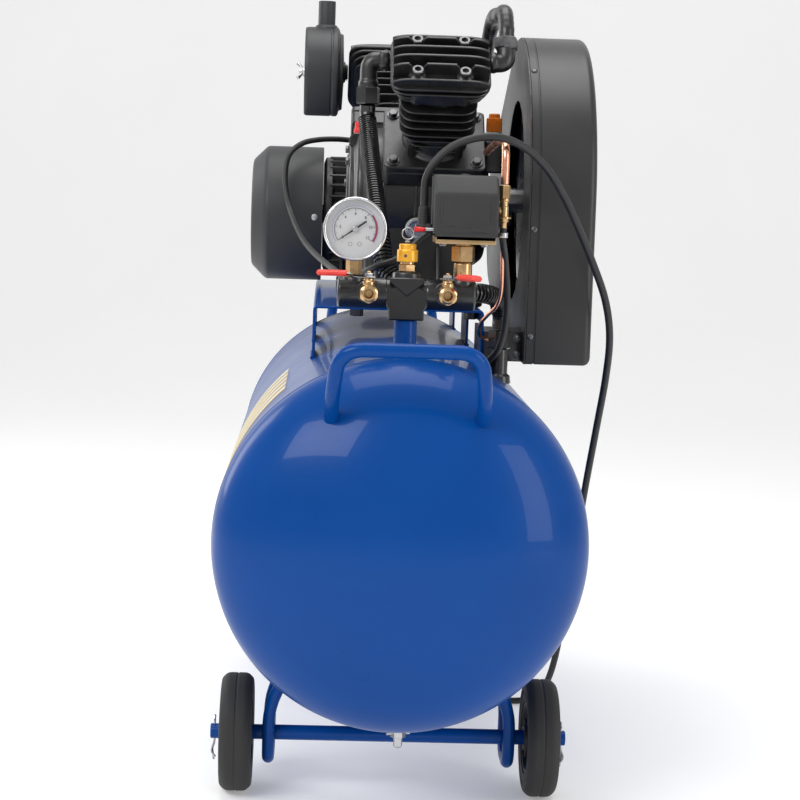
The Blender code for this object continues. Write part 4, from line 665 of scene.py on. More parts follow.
# gauge
gauge = dict(x=-0.053, z=0.604, front=-0.358, dial=0.0085, zero=-145, sweep=-250)
caseLine = softLine([(0, 0.027), (0.0255, 0.027), (0.0290, 0.0245), (0.0290, 0.0075), (0.0315, 0.0065),
    (0.0315, 0.0010), (0.0303, 0), (0.0290, 0.0004), (0.0282, 0.0030), (0.0285, 0.0085), (0, 0.0085)], 0.0007,
    4)
place = (gauge["x"], gauge["front"], gauge["z"])
gaugeParts = [(turnedShape(caseLine, place, (0, 1, 0), 112), chromeMetal)]
faceY = gauge["front"] + gauge["dial"]
gaugeParts.append((turnedShape([(0, 0), (0.0284, 0), (0.0284, 0.0006), (0, 0.0006)],
    (gauge["x"], faceY - 0.0006, gauge["z"]), (0, 1, 0), 96), dialWhite))


def dialMark(angle, inner, outer, wide, lift=0.0007):
    a = math.radians(angle)
    box = softBox((inner, -0.00004, -wide / 2), (outer, 0.00004, wide / 2), 0.00003, 1)
    return moved(box, Matrix.Translation((gauge["x"], faceY - lift, gauge["z"])) @ Matrix.Rotation(-a, 4,
        "Y"))


def dialArc(inner, outer, first, last, lift=0.00068):
    t = np.radians(np.linspace(first, last, 60))[:, None]
    rows = []
    for r, h in ((inner, 0.0), (outer, 0.0), (outer, 0.00008), (inner, 0.00008)):
        rows.append(np.concatenate([gauge["x"] + r * np.cos(t), 0 * t + faceY - lift + h,
            gauge["z"] + r * np.sin(t)], 1))
    return gridShape(np.stack(rows, 1))


zero, sweepBy = gauge["zero"] + 360, gauge["sweep"]
marks = [dialMark(zero + sweepBy * k / 60, 0.0178 if k % 10 == 0 else 0.0186 if k % 5 == 0 else 0.0194,
    0.0206, 0.0005 if k % 5 == 0 else 0.00028) for k in range(61)]
gaugeParts.append((merged(*marks, dialArc(0.0204, 0.0208, zero + sweepBy, zero)), dialBlack))
outerMarks = [dialMark(zero + sweepBy * k / 45, 0.0226, 0.0240 if k % 5 else 0.0248,
    0.0003) for k in range(46)]
gaugeParts.append((merged(*outerMarks, dialArc(0.0223, 0.0226, zero + sweepBy, zero)), dialBlue))
gaugeParts.append((dialArc(0.0209, 0.0222, zero + sweepBy, zero + sweepBy * 0.70), dialRed))
for k in range(7):
    angle = math.radians(zero + sweepBy * k / 6)
    at = (gauge["x"] + 0.0150 * math.cos(angle), faceY - 0.0007, gauge["z"] + 0.0150 * math.sin(angle))
    gaugeParts.append((textShape(str(2 * k), 0.0042, at), dialBlack))
for x in (-0.0046, 0.0046):
    ring = turnedShape([(0.0018, 0), (0.0021, 0), (0.0021, 0.0001), (0.0018, 0.0001)],
        (gauge["x"] + x, faceY - 0.00068, gauge["z"] - 0.0150), (0, 1, 0), 32, ring=True)
    gaugeParts.append((ring, dialBlack))
gaugeParts.append((prismShape(ngonLine(6, 0.0140, 0.0), 0.5562, 0.5745,
    Matrix.Translation((gauge["x"], air["y"], 0)), 0.0008), brassMetal))
addPiece("gaugeCase", gaugeParts, stands=["gauge_case"])
needleY = faceY - 0.003
turnNeedle = Matrix.Translation((gauge["x"], needleY,
    gauge["z"])) @ Matrix.Rotation(-math.radians(gauge["zero"]), 4, "Y")
blade = prismShape([(-0.0135, -0.0009), (-0.0135, 0.0009), (-0.0020, 0.0010), (0.0205, 0.00025),
    (0.0205, -0.00025), (-0.0020, -0.0010)], -0.0003, 0.0003, alongY, 0.0001)
hubLine = softLine([(0, -0.0010), (0.0026, -0.0010), (0.0030, -0.0002), (0.0030, 0.0020), (0, 0.0020)],
    0.0004, 3)
addPiece("needleBlade", [(moved(blade, turnNeedle), dialBlack),
    (turnedShape(hubLine, (gauge["x"], needleY, gauge["z"]), (0, 1, 0), 32), zincSteel)], body="needle",
    stands=["gauge_needle"])
print("manifold and gauge made")

# outlet valves
valve = dict(x=0.0385, z=0.5425, back=-0.3528, flats=0.017, stemY=-0.3735)
for side, sign, swing in (("left", -1, 180), ("right", 1, -58)):
    x = sign * valve["x"]
    along = facing((x, valve["back"], valve["z"]), (0, -1, 0))
    a = np.linspace(0, 2 * np.pi, 48, endpoint=False)
    six = valve["flats"] / 2 / np.cos((a + np.pi / 6) % (np.pi / 3) - np.pi / 6)
    steps = [(0.0068, 0), (0.0068, 0.004), (0.0078, 0.006), (0.0088, 0.010), (0.0092, 0.016), (0.0088, 0.022),
        (0.0074, 0.0265), (0.0074, 0.0285), (np.minimum(six, 0.0088), 0.0288),
        (np.minimum(six, 0.0094), 0.0296), (np.minimum(six, 0.0094), 0.0395),
        (np.minimum(six, 0.0090), 0.0404), (0.0076, 0.0410), (0.0064, 0.0420), (0.0046, 0.0420),
        (0.0040, 0.0410), (0.0035, 0.024)]
    rows = [ringRow(r, h, a) for r, h in steps]
    body = moved(gridShape(np.array(rows)), along)
    stemLine = softLine([(0, 0), (0.0062, 0), (0.0062, 0.0035), (0.0048, 0.0045), (0.0048, 0.0065),
        (0, 0.0065)], 0.0006, 3)
    parts = [(body, brassMetal), (turnedShape(stemLine, (x, valve["stemY"], 0.5502), (0, 0, 1), 36),
        brassMetal)]
    addPiece("ballValve" + side.capitalize(), parts, stands=["ball_valve_" + side])
    pivot = Matrix.Translation((x, valve["stemY"], 0.5573)) @ Matrix.Rotation(math.radians(swing), 4, "Z")
    strip = softLine([(-0.0062, 0.0), (0.0140, 0.0), (0.0200, 0.0034), (0.0500, 0.0034), (0.0500, 0.0048),
        (0.0196, 0.0048), (0.0134, 0.0014), (-0.0062, 0.0014)],
        [0.0004, 0.004, 0.004, 0.0004, 0.0004, 0.004, 0.004, 0.0004], 5, closed=True)
    grip = softLine([(0.0205, 0.0010), (0.0500, 0.0010), (0.0520, 0.0040), (0.0500, 0.0066),
        (0.0205, 0.0066)], 0.0022, 5, closed=True)
    leverParts = [(moved(prismShape(strip, -0.0050, 0.0050, alongY, 0.0003), pivot), zincSteel),
        (moved(prismShape(grip, -0.0055, 0.0055, alongY, 0.0018), pivot), coralGrip),
        (moved(prismShape(ngonLine(6, 0.0078, 0.3), 0.0016, 0.0046, edge=0.0005), pivot), zincSteel),
        (moved(turnedShape([(0, 0.0046), (0.0021, 0.0046), (0.0021, 0.0062), (0.0016, 0.0067), (0, 0.0067)],
        (0, 0, 0), (0, 0, 1), 24), pivot), brassMetal)]
    for k in range(4):
        rib = softBox((0.029 + 0.0045 * k, -0.0042, 0.0064), (0.0305 + 0.0045 * k, 0.0042, 0.0070), 0.0003, 1)
        leverParts.append((moved(rib, pivot), coralGrip))
    addPiece("valveLever" + side.capitalize(), leverParts, body="lever_" + side,
        stands=["valve_lever_" + side])

# pressure switch
switch = dict(x=0.0555, low=0.5995, high=0.6602, half=0.0315, front=-0.372, rear=-0.300)
left, right = switch["x"] - switch["half"], switch["x"] + switch["half"]
fittingParts = [(prismShape(ngonLine(6, 0.0210, 0.26), 0.5735, 0.5905,
    Matrix.Translation((switch["x"], air["y"], 0)), 0.0012), brassMetal),
    (turnedShape(softLine([(0, 0.5560), (0.0090, 0.5560), (0.0090, 0.5720), (0.0080, 0.5735), (0, 0.5735)],
    0.0006, 3), (switch["x"], air["y"], 0), (0, 0, 1), 48), brassMetal),
    (turnedShape([(0, 0.5905), (0.0072, 0.5905), (0.0072, 0.5922), (0, 0.5922)], (switch["x"], air["y"], 0),
    (0, 0, 1), 32), brassMetal)]
addPiece("switchFitting", fittingParts, stands=["switch_fitting"])
plate = softLine([(left + 0.002, 0.5925), (right - 0.002, 0.5925), (right - 0.002, 0.5992),
    (right - 0.0032, 0.5992), (right - 0.0032, 0.5938), (left + 0.0032, 0.5938), (left + 0.0032, 0.5992),
    (left + 0.002, 0.5992)], 0.0006, 3, closed=True)
baseParts = [(prismShape(plate, switch["front"] + 0.002, switch["rear"] - 0.002, alongY, 0.0003), goldZinc)]
baseParts.append((softBox((left + 0.0020, switch["front"] + 0.0010, 0.5926),
    (right - 0.0020, switch["front"] + 0.0024, 0.5968), 0.0005), goldZinc))
for x, y in ((right - 0.012, -0.352), (left + 0.010, -0.352)):
    baseParts.append((boltShape((x, y, 0.5926), (0, 0, -1), 0.0055, 0.0030, 0.0040), zincSteel))
addPiece("switchBase", baseParts, stands=["switch_base"])
coverLine = softLine([(switch["front"], switch["low"]), (switch["front"], 0.6417),
    (switch["front"] + 0.0165, switch["high"]), (switch["rear"], switch["high"]),
    (switch["rear"], switch["low"])], [0.0008, 0.003, 0.003, 0.004, 0.0008], 6, closed=True)
coverParts = [(prismShape(coverLine, left, right, alongX, 0.0024), mouldedBlack)]
front = switch["front"]
for x0, x1, z0, z1 in ((left + 0.008, left + 0.021, 0.6095, 0.6107),
    (left + 0.026, left + 0.037, 0.6095, 0.6107), (left + 0.004, right - 0.004, 0.6030, 0.6040)):
    coverParts.append((softBox((x0, front - 0.0004, z0), (x1, front + 0.001, z1), 0.0004), mouldedBlack))
coverParts.append((softBox((switch["x"] + 0.006, front - 0.0005, 0.6045),
    (switch["x"] + 0.020, front + 0.001, 0.6085), 0.0008), mouldedBlack))
for x in (left + 0.0068, right - 0.0068):
    coverParts.append((softBox((x - 0.0012, front - 0.0006, 0.6125), (x + 0.0012, front + 0.0008, 0.6380),
        0.0006), mouldedBlack))
coverParts.append((turnedShape(softLine([(0, 0), (0.0052, 0), (0.0052, 0.0006), (0.0040, 0.0012),
    (0, 0.0012)], 0.0003, 2), (switch["x"], -0.330, switch["high"] - 0.0002), (0, 0, 1), 32), mouldedBlack))
coverParts.append((softBox((switch["x"] - 0.0034, -0.3305, switch["high"] + 0.0004),
    (switch["x"] + 0.0034, -0.3295, switch["high"] + 0.0012), 0.0002), darkSteel))
addPiece("switchCover", coverParts, stands=["switch_cover"])

gland = dict(x=left - 0.0085, y=-0.325, top=0.628)
glandParts = [(turnedShape([(0, 0.6050), (0.0040, 0.6050), (0.0040, gland["top"] - 0.0004),
    (0.0049, gland["top"] - 0.0002), (0.0051, gland["top"] - 0.0012), (0.0062, 0.6130), (0.0062, 0.6100),
    (0.0072, 0.6090), (0.0072, 0.6020), (0, 0.6020)], (gland["x"], gland["y"], 0), (0, 0, 1), 40),
    mouldedBlack), (softBox((gland["x"] + 0.002, gland["y"] - 0.007, 0.6018),
    (left - 0.0003, gland["y"] + 0.007, 0.6110), 0.0015), mouldedBlack)]
for k in range(4):
    z = 0.6145 + 0.0032 * k
    r = 0.0062 - (z - 0.613) * 0.075
    glandParts.append((turnedShape([(r - 0.0008, z), (r + 0.0004, z + 0.0002), (r + 0.0004, z + 0.0012),
        (r - 0.0008, z + 0.0014)], (gland["x"], gland["y"], 0), (0, 0, 1), 40, ring=True), mouldedBlack))
glandParts.append((softBox((gland["x"] - 0.0082, gland["y"] - 0.0045, 0.6048),
    (gland["x"] - 0.0070, gland["y"] + 0.0045, 0.6096), 0.0004), zincSteel))
addPiece("cordGland", glandParts, stands=["cord_gland"])
knobY = switch["front"] + 0.012
knobParts = [(turnedShape([(0, 0.0003), (0.0018, 0.0003), (0.0018, 0.0090), (0, 0.0090)],
    (left, knobY, 0.6058), (-1, 0, 0), 20), zincSteel), (prismShape(softLine([(left - 0.0190, 0.6032),
    (left - 0.0080, 0.6042), (left - 0.0080, 0.6074), (left - 0.0190, 0.6086)], 0.0010, 4, closed=True),
    knobY - 0.004, knobY + 0.004, alongY, 0.0012), redPlastic)]
addPiece("switchLever", knobParts, body="switch_lever", stands=["switch_lever"])

# unloader valve, its copper tube and its hose
unloader = dict(x=right + 0.0085, y=-0.325)
ux, uy = unloader["x"], unloader["y"]
stack = softLine([(0, 0.6082), (0.0034, 0.6082), (0.0034, 0.6140), (0.0048, 0.6150), (0.0048, 0.6178),
    (0.0076, 0.6182), (0.0076, 0.6198), (0.0046, 0.6202), (0.0046, 0.6300), (0.0040, 0.6310),
    (0.0040, 0.6350), (0.0050, 0.6358), (0.0050, 0.6380), (0, 0.6380)], 0.0003, 2)
unloaderParts = [(turnedShape(stack, (ux, uy, 0), (0, 0, 1), 40), brassMetal),
    (prismShape(ngonLine(6, 0.0108, 0.2), 0.6380, 0.6515, Matrix.Translation((ux, uy, 0)), 0.0008),
    brassMetal), (turnedShape([(0, 0.0003), (0.0035, 0.0003), (0.0035, 0.0070), (0, 0.0070)],
    (right, uy, 0.6260), (1, 0, 0), 24), brassMetal), (prismShape(ngonLine(6, 0.0085, 0.1), 0.0012, 0.0042,
    facing((right, uy, 0.6260), (1, 0, 0)), 0.0005), brassMetal)]
addPiece("unloaderValve", unloaderParts, stands=["unloader_valve"])
copperPath = softLine([(ux, uy, 0.6523), (ux, uy, 0.6930), (ux - 0.002, -0.250, 0.6960),
    (0.0890, -0.160, 0.6860)], 0.022, 14)
copperLong = np.linalg.norm(np.diff(copperPath, axis=0), axis=1).cumsum()
copperPath = np.stack([np.interp(np.linspace(0, copperLong[-1], 90), np.r_[0, copperLong],
    copperPath[:, c]) for c in range(3)], 1)
addPiece("unloaderTube", [(tubeShape(copperPath, 0.0040, 28), copperMetal)], stands=["unloader_tube"])
hosePath = smoothPath([(ux, uy, 0.6082), (ux, uy, 0.5970), (0.1005, -0.303, 0.5760), (0.1058, -0.282, 0.5380),
    (0.1060, -0.267, 0.5060), (0.1010, -0.261, 0.4830), (0.0925, -0.252, 0.4700), (0.0880, -0.242, 0.4655),
    (0.0890, -0.2365, 0.4650), (0.0960, -0.2350, 0.4650)], 0.003)
thinPath = smoothPath([(ux - 0.0010, uy + 0.004, 0.6150), (0.0955, -0.317, 0.6040), (0.0975, -0.305, 0.5750),
    (0.0985, -0.293, 0.5450), (0.0955, -0.281, 0.5280), (0.0870, -0.271, 0.5170), (0.0815, -0.260, 0.5080),
    (0.0815, -0.2450, 0.4960), (0.0880, -0.2365, 0.4900), (0.0950, -0.2350, 0.4895)], 0.003)
clipParts = [(tubeShape(hosePath, 0.0035, 20), cordRubber), (tubeShape(thinPath, 0.0020, 16), copperMetal),
    (turnedShape(softLine([(0.0034, 0.0), (0.0050, 0.0), (0.0050, 0.005), (0.0034, 0.005)], 0.0004, 2,
    closed=True), (ux, uy, 0.5990), (0, 0, 1), 32, ring=True), zincSteel)]
addPiece("unloaderHose", clipParts)
print("switch and valves made")

# pump
pump = dict(z=0.634, radius=0.078, left=-0.060, right=0.100, base=0.085, top=0.180, flange=0.010,
    pitch=0.0114)
caseLine = softLine([(0, pump["left"]), (0.046, pump["left"]), (0.048, pump["left"] + 0.003),
    (0.062, pump["left"] + 0.003), (0.0640, pump["left"] + 0.008), (0.0755, pump["left"] + 0.012),
    (0.0755, pump["left"] + 0.020), (pump["radius"], pump["left"] + 0.024),
    (pump["radius"], pump["right"] - 0.012), (pump["radius"] - 0.010, pump["right"]), (0.030, pump["right"]),
    (0.028, pump["right"] - 0.002), (0.0155, pump["right"] - 0.002), (0.0155, pump["right"] - 0.02)],
    [0.002, 0.002, 0.004, 0.003, 0.004, 0.002, 0.003, 0.005, 0.005, 0.002, 0.002, 0.001], 4)
caseLine = np.concatenate([caseLine, [(0, pump["right"] - 0.02)]])
caseParts = [(turnedShape(caseLine, (0, 0, pump["z"]), (1, 0, 0), 128), castBlack)]
foot = softLine([(pump["left"] + 0.010, -0.105), (pump["right"] - 0.005, -0.105),
    (pump["right"] - 0.005, 0.105), (pump["left"] + 0.010, 0.105)], 0.012, 6, closed=True)
caseParts.append((prismShape(foot, 0.5148, 0.5288, edge=0.0020), castBlack))
neckRows = []
for z, x0, x1, y in ((0.5280, -0.0400, 0.0870, 0.0740), (0.5340, -0.0380, 0.0850, 0.0700),
    (0.5600, -0.0380, 0.0850, 0.0680), (0.6040, -0.0380, 0.0850, 0.0700)):
    neckRows.append(np.c_[softLine([(x0, -y), (x1, -y), (x1, y), (x0, y)], 0.010, 5, closed=True),
        np.full(24, z)])
caseParts.append((gridShape(np.array(neckRows)), castBlack))
for y in (-0.0725, 0.0725):
    for x in (-0.025, 0.010, 0.045, 0.075):
        web = [(0.5285, y * 0.96), (0.5285, y * 1.36), (0.5340, y * 1.34), (0.5800, y * 0.98)]
        rib = [(v, z) for z, v in web]
        caseParts.append((prismShape(rib, x - 0.0022, x + 0.0022, alongX, 0.0008), castBlack))
for index in range(6):  # bearing cover bolts on the left end
    angle = index * math.pi / 3 + 0.26
    at = (pump["left"] + 0.0032, 0.0545 * math.cos(angle), pump["z"] + 0.0545 * math.sin(angle))
    caseParts.append((boltShape(at, (-1, 0, 0), 0.0080, 0.0050, 0.0065), darkSteel))
for index in range(3):  # raised ribs round the drum
    x = -0.018 + 0.036 * index
    caseParts.append((turnedShape(softLine([(0.0770, x - 0.0022), (0.0795, x - 0.0014), (0.0795, x + 0.0014),
        (0.0770, x + 0.0022)], 0.0008, 3, closed=True), (0, 0, pump["z"]), (1, 0, 0), 96, ring=True),
        castBlack))
sight = (0.020, -0.0770, 0.600)
caseParts.append((turnedShape(softLine([(0, 0.0), (0.0135, 0.0), (0.0135, 0.0035), (0.0100, 0.0045),
    (0.0085, 0.0030), (0, 0.0030)], 0.0006, 3), sight, (0, -1, -0.3), 40), castAluminium))

banks = {"front": dict(x=0.037, bore=0.0240, fin=0.084, headX=0.108, headV=0.084, sign=1),
    "rear": dict(x=0.007, bore=0.0300, fin=0.098, headX=0.134, headV=0.096, sign=-1)}

headBolt = dict(x=0.0255, v=0.0245)  # where the four head bolts stand, across and along the head


def plateLine(x, v, corner, round=0.002):
    return softLine([(-x + corner, -v), (x - corner, -v), (x, -v + corner), (x, v - corner), (x - corner, v),
        (-x + corner, v), (-x, v - corner), (-x, -v + corner)], round, 3, closed=True)


for name, bank in banks.items():
    lean = Matrix.Translation((bank["x"], 0, pump["z"])) @ Matrix.Rotation(bank["sign"] * math.pi / 4, 4, "X")
    halfX, halfV = bank["bore"] + 0.033, bank["bore"] + 0.023
    seat = softLine([(-halfX, -halfV), (halfX, -halfV), (halfX, halfV), (-halfX, halfV)], 0.006, 5,
        closed=True)
    caseParts.append((moved(prismShape(seat, 0.066, pump["base"] - 0.0003, edge=0.0012), lean), castBlack))
    tapered = []
    for h, k in ((0.040, 0.80), (0.058, 0.84), (0.067, 0.97)):
        tapered.append(np.c_[seat * k, np.full(len(seat), h)])
    caseParts.append((moved(gridShape(np.array(tapered)), lean), castBlack))
    barrelParts = [(moved(prismShape(seat, pump["base"], pump["base"] + 0.0085, edge=0.0014), lean),
        castBlack)]
    r = bank["bore"]
    sleeve = [(r, pump["base"]), (r, pump["top"] - 0.0003), (r + 0.011, pump["top"] - 0.0003),
        (r + 0.011, pump["top"] - 0.006), (r + 0.0075, pump["top"] - 0.008),
        (r + 0.0085, pump["base"] + 0.012), (r + 0.014, pump["base"] + 0.0080)]
    sleeve = softLine(sleeve, [0.0003, 0.0003, 0.0015, 0.0015, 0.003, 0.005, 0.002], 3, closed=True)
    barrelParts.append((moved(turnedShape(sleeve, (0, 0, 0), (0, 0, 1), 72, ring=True), lean), castBlack))
    for k in range(7):
        h = pump["base"] + pump["flange"] + pump["pitch"] * (k + 0.45)
        reach = bank["fin"] / 2 - (0.011, 0.008, 0.004, 0, 0, 0, 0)[k]
        fin = softLine([(-reach, -reach), (reach, -reach), (reach, reach), (-reach, reach)], 0.020, 7,
            closed=True)
        barrelParts.append((moved(prismShape(fin, h, h + 0.0024, edge=0.0008), lean), castBlack))
    for x in (-1, 1):
        for v in (-1, 1):
            rod = turnedShape([(0, pump["base"] + 0.008), (0.0055, pump["base"] + 0.008),
                (0.0055, pump["top"] - 0.0004), (0, pump["top"] - 0.0004)],
                (x * headBolt["x"] * r / 0.024, v * headBolt["v"] * r / 0.024, 0), (0, 0, 1), 20)
            barrelParts.append((moved(rod, lean), castBlack))
            at = (x * (halfX - 0.0105), v * (halfV - 0.0105), pump["base"] + 0.0085)
            barrelParts.append((moved(boltShape(at, (0, 0, 1), 0.0090, 0.0056, 0.0070), lean), darkSteel))
    addPiece(name + "Cylinder", barrelParts, stands=[name + "_cylinder"])
    hx, hv, t0 = bank["headX"] / 2, bank["headV"] / 2, pump["top"]
    headParts = [(moved(prismShape(plateLine(hx - 0.014, hv - 0.012, 0.012, 0.005), t0, t0 + 0.0300,
        edge=0.0012), lean), castBlack)]
    for h, less, corner in ((0.0000, 0.0060, 0.020), (0.0072, 0.0020, 0.024), (0.0144, 0.0, 0.022),
        (0.0216, 0.0, 0.016)):
        x, v = hx - less, hv - less
        shelf = softLine([(-x, -v), (x, -v), (x, v), (-x, v)], corner, 8, closed=True)
        headParts.append((moved(prismShape(shelf, t0 + h, t0 + h + 0.0032, edge=0.0010), lean), castBlack))
    side = softLine([(-hx * 0.62, -hv + 0.0010), (hx * 0.62, -hv + 0.0010), (hx * 0.62, hv - 0.0010),
        (-hx * 0.62, hv - 0.0010)], 0.010, 6, closed=True)
    headParts.append((moved(prismShape(side, t0 + 0.0020, t0 + 0.0160, edge=0.0014), lean), castBlack))
    ribs = 7 if name == "rear" else 6
    for k in range(ribs):  # crest ribs, each one a low arch along the head
        v = -hv + 0.007 + (2 * hv - 0.014) * k / (ribs - 1)
        along = np.linspace(-hx + 0.002, hx - 0.002, 44)
        crest = t0 + 0.0445 - 0.006 * np.abs(along / hx) ** 6 - (0.010 if k in (0, ribs - 1) else 0)
        near = np.exp(-((np.abs(along) - headBolt["x"]) / 0.0065) ** 4)
        crest = crest - near * (1 if abs(abs(v) - headBolt["v"]) < 0.0105 else 0) * 0.012
        line = np.concatenate([np.stack([along, crest], 1), [(hx - 0.002, t0 + 0.0225),
            (-hx + 0.002, t0 + 0.0225)]])
        headParts.append((moved(prismShape(line, v - 0.0016, v + 0.0016, alongY, 0.0007), lean), castBlack))
    for x in (-1, 1):
        for v in (-1, 1):
            pillar = turnedShape(softLine([(0, t0 + 0.010), (0.0088, t0 + 0.010), (0.0084, t0 + 0.0300),
                (0, t0 + 0.0300)], 0.0010, 3), (x * headBolt["x"], v * headBolt["v"], 0), (0, 0, 1), 36)
            headParts.append((moved(pillar, lean), castBlack))
            headParts.append((moved(turnedShape([(0, 0.0300), (0.0086, 0.0300), (0.0086, 0.0312),
                (0, 0.0312)], (x * headBolt["x"], v * headBolt["v"], t0), (0, 0, 1), 36), lean), zincSteel))
            headParts.append((moved(socketShape((x * headBolt["x"], v * headBolt["v"], t0 + 0.0312),
                (0, 0, 1), 0.0066, 0.0080), lean), darkSteel))
    addPiece(name + "Head", headParts, stands=[name + "_head"])

filler = dict(x=0.1048, y=-0.050)
caseParts.append((softBox((0.0943, filler["y"] - 0.012, 0.664),
    (filler["x"] + 0.0105, filler["y"] + 0.012, 0.700), 0.003), castBlack))
threadLine = [(0, 0.698), (0.0095, 0.698)]
for k in range(6):
    threadLine += [(0.0095, 0.7000 + 0.0015 * k), (0.0088, 0.70075 + 0.0015 * k)]
threadLine += [(0.0095, 0.7098), (0, 0.7100)]
caseParts.append((turnedShape(threadLine, (filler["x"], filler["y"], 0), (0, 0, 1), 40), mouldedBlack))
caseParts.append((prismShape(softLine([(-0.058, 0.690), (-0.036, 0.690), (-0.036, 0.7000), (-0.041, 0.7050),
    (-0.053, 0.7050), (-0.058, 0.7000)], 0.0015, 3, closed=True), -0.030, -0.012, alongY, 0.0010), castBlack))
caseParts.append((turnedShape(softLine([(0, 0.7045), (0.0062, 0.7045), (0.0062, 0.7085), (0.0050, 0.7100),
    (0.0050, 0.7165), (0.0036, 0.7180), (0, 0.7180)], 0.0008, 4), (-0.047, -0.021, 0), (0, 0, 1), 36),
    redPlastic))
caseParts.append((softBox((-0.0545, -0.034, 0.660), (-0.0395, -0.008, 0.6920), 0.004), castBlack))
addPiece("crankcase", caseParts, stands=["crankcase"])
turns = np.linspace(0, 2 * np.pi, 144, endpoint=False)
ribbed = 0.0086 + 0.0004 * np.tanh(3 * np.sin(turns * 24))
rows = [np.stack([r * np.cos(turns), r * np.sin(turns), np.full(144, z)], 1) for r,
    z in ((ribbed * 0.93, 0.7103), (ribbed, 0.7112), (ribbed, 0.7245), (ribbed * 0.97, 0.7255),
    (ribbed * 0.80, 0.7262), (0.0064, 0.7262), (0.0062, 0.7300), (0.0052, 0.7310))]
addPiece("oilCap", [(moved(gridShape(np.array(rows)), Matrix.Translation((filler["x"], filler["y"], 0))),
    orangePlastic)], body="oil_cap", stands=["oil_cap"])
print("pump made")

# flywheel, pulley and belt
drive = dict(x=0.168, radius=0.150, pulley=0.0375, motorY=0.300, motorZ=0.606, rim=0.018)


def rimLine(radius, thick, half):
    return softLine([(radius, half), (radius, 0.0095), (radius - 0.010, 0.0060), (radius - 0.010, -0.0060),
        (radius, -0.0095), (radius, -half), (radius - 0.010 - thick, -half), (radius - 0.010 - thick, half)],
        0.0010, 3, closed=True)


flyParts = [(turnedShape(rimLine(drive["radius"], 0.008, drive["rim"]), (drive["x"], 0, pump["z"]), (1, 0, 0),
    160, ring=True), turnedIron), (turnedShape(softLine([(0.0143, drive["rim"]), (0.026, drive["rim"]),
    (0.030, drive["rim"] - 0.004), (0.030, 0.004 - drive["rim"]), (0.026, -drive["rim"]),
    (0.0143, -drive["rim"])], 0.0015, 3, closed=True), (drive["x"], 0, pump["z"]), (1, 0, 0), 72, ring=True),
    castBlack)]
for index in range(6):  # spokes set at an angle, so that they blow air over the pump
    s = np.linspace(0, 1, 16)[:, None]
    section = softLine([(-0.5, -0.12), (0.5, -0.12), (0.5, 0.12), (-0.5, 0.12)], 0.11, 4, closed=True)
    pitchBy = math.radians(24)
    wide = 0.026 + 0.014 * (2 * s - 1) ** 2
    u, w = section[None, :, 0] * wide, section[None, :, 1] * 0.026 + 0 * s
    x = u * math.sin(pitchBy) + w * math.cos(pitchBy)
    y = u * math.cos(pitchBy) - w * math.sin(pitchBy)
    rows = np.stack([x, y, 0.027 + 0.107 * s + 0 * x], -1)
    spoke = gridShape(rows)
    flyParts.append((moved(spoke, Matrix.Translation((drive["x"], 0,
        pump["z"])) @ Matrix.Rotation(index * math.pi / 3, 4, "X")), castBlack))
addPiece("flywheel", flyParts, body="crank", stands=["flywheel"])
pulleyParts = [(turnedShape(softLine([(0.0375, 0.018), (0.0375, 0.0095), (0.0275, 0.0060), (0.0275, -0.0060),
    (0.0375, -0.0095), (0.0375, -0.018), (0.0123, -0.018), (0.0123, 0.018)], 0.0010, 3, closed=True),
    (drive["x"], drive["motorY"], drive["motorZ"]), (1, 0, 0), 96, ring=True), turnedIron)]
addPiece("motorPulley", pulleyParts, body="motor_rotor", stands=["motor_pulley"])


def driveLine(front, rear, frontSteps=150, rearSteps=70):
    # two arcs joined by their tangents: the arc angles end where a tangent leaves each circle
    reach = math.hypot(drive["motorY"], drive["motorZ"] - pump["z"])
    slope = math.atan2(drive["motorZ"] - pump["z"], drive["motorY"])
    lean = math.acos((front - rear) / reach)
    first = slope + lean + (2 * np.pi - 2 * lean) * np.linspace(0, 1, frontSteps)
    second = slope - lean + 2 * lean * np.linspace(0, 1, rearSteps)
    return np.concatenate([np.stack([front * np.cos(first), pump["z"] + front * np.sin(first)], 1),
        np.stack([drive["motorY"] + rear * np.cos(second), drive["motorZ"] + rear * np.sin(second)], 1)])


beltRows = []
for dx, dr in ((-0.0040, -0.0042), (0.0040, -0.0042), (0.0062, 0.0028), (0.0062, 0.0036), (-0.0062, 0.0036),
    (-0.0062, 0.0028)):
    line = driveLine(drive["radius"] - 0.0035 + dr, drive["pulley"] - 0.0035 + dr)
    beltRows.append(np.c_[np.full(len(line), drive["x"] + dx), line])
beltRows.append(beltRows[0])
addPiece("driveBelt", [(gridShape(np.array(beltRows), True, False, False), tyreRubber)],
    stands=["drive_belt"])

# belt guard
guard = dict(back=0.1370, outer=0.2075, front=0.186, rear=0.086, sheet=0.0016, round=0.0085, low=0.460,
    turn=0.020, corner=0.0030)
turnBy = np.linspace(0, np.pi / 2, 9)
steps = [(guard["back"], 0.0), (0.1445, 0.0), (0.1450, 0.0007), (0.1462, 0.0007), (0.1467, 0.0)]
steps += [(guard["outer"] - guard["round"] + guard["round"] * math.sin(a),
    guard["round"] * (1 - math.cos(a))) for a in turnBy]
steps += [(guard["outer"], 0.020), (guard["outer"] - 0.0010, 0.0225), (guard["outer"] - 0.0010, 0.0275),
    (guard["outer"], 0.030), (guard["outer"], 0.0465), (guard["outer"] - 0.0016, 0.0490),
    (guard["outer"] - 0.0016, 0.050)]
inner = guard["round"] - guard["sheet"]
steps += [(guard["outer"] - 0.0016 - guard["sheet"], 0.050), (guard["outer"] - 0.0016 - guard["sheet"],
    0.045)]
steps += [(guard["outer"] - guard["round"] + inner * math.sin(a),
    guard["sheet"] + inner * (1 - math.cos(a))) for a in turnBy[::-1]]
steps += [(guard["back"], guard["sheet"])]


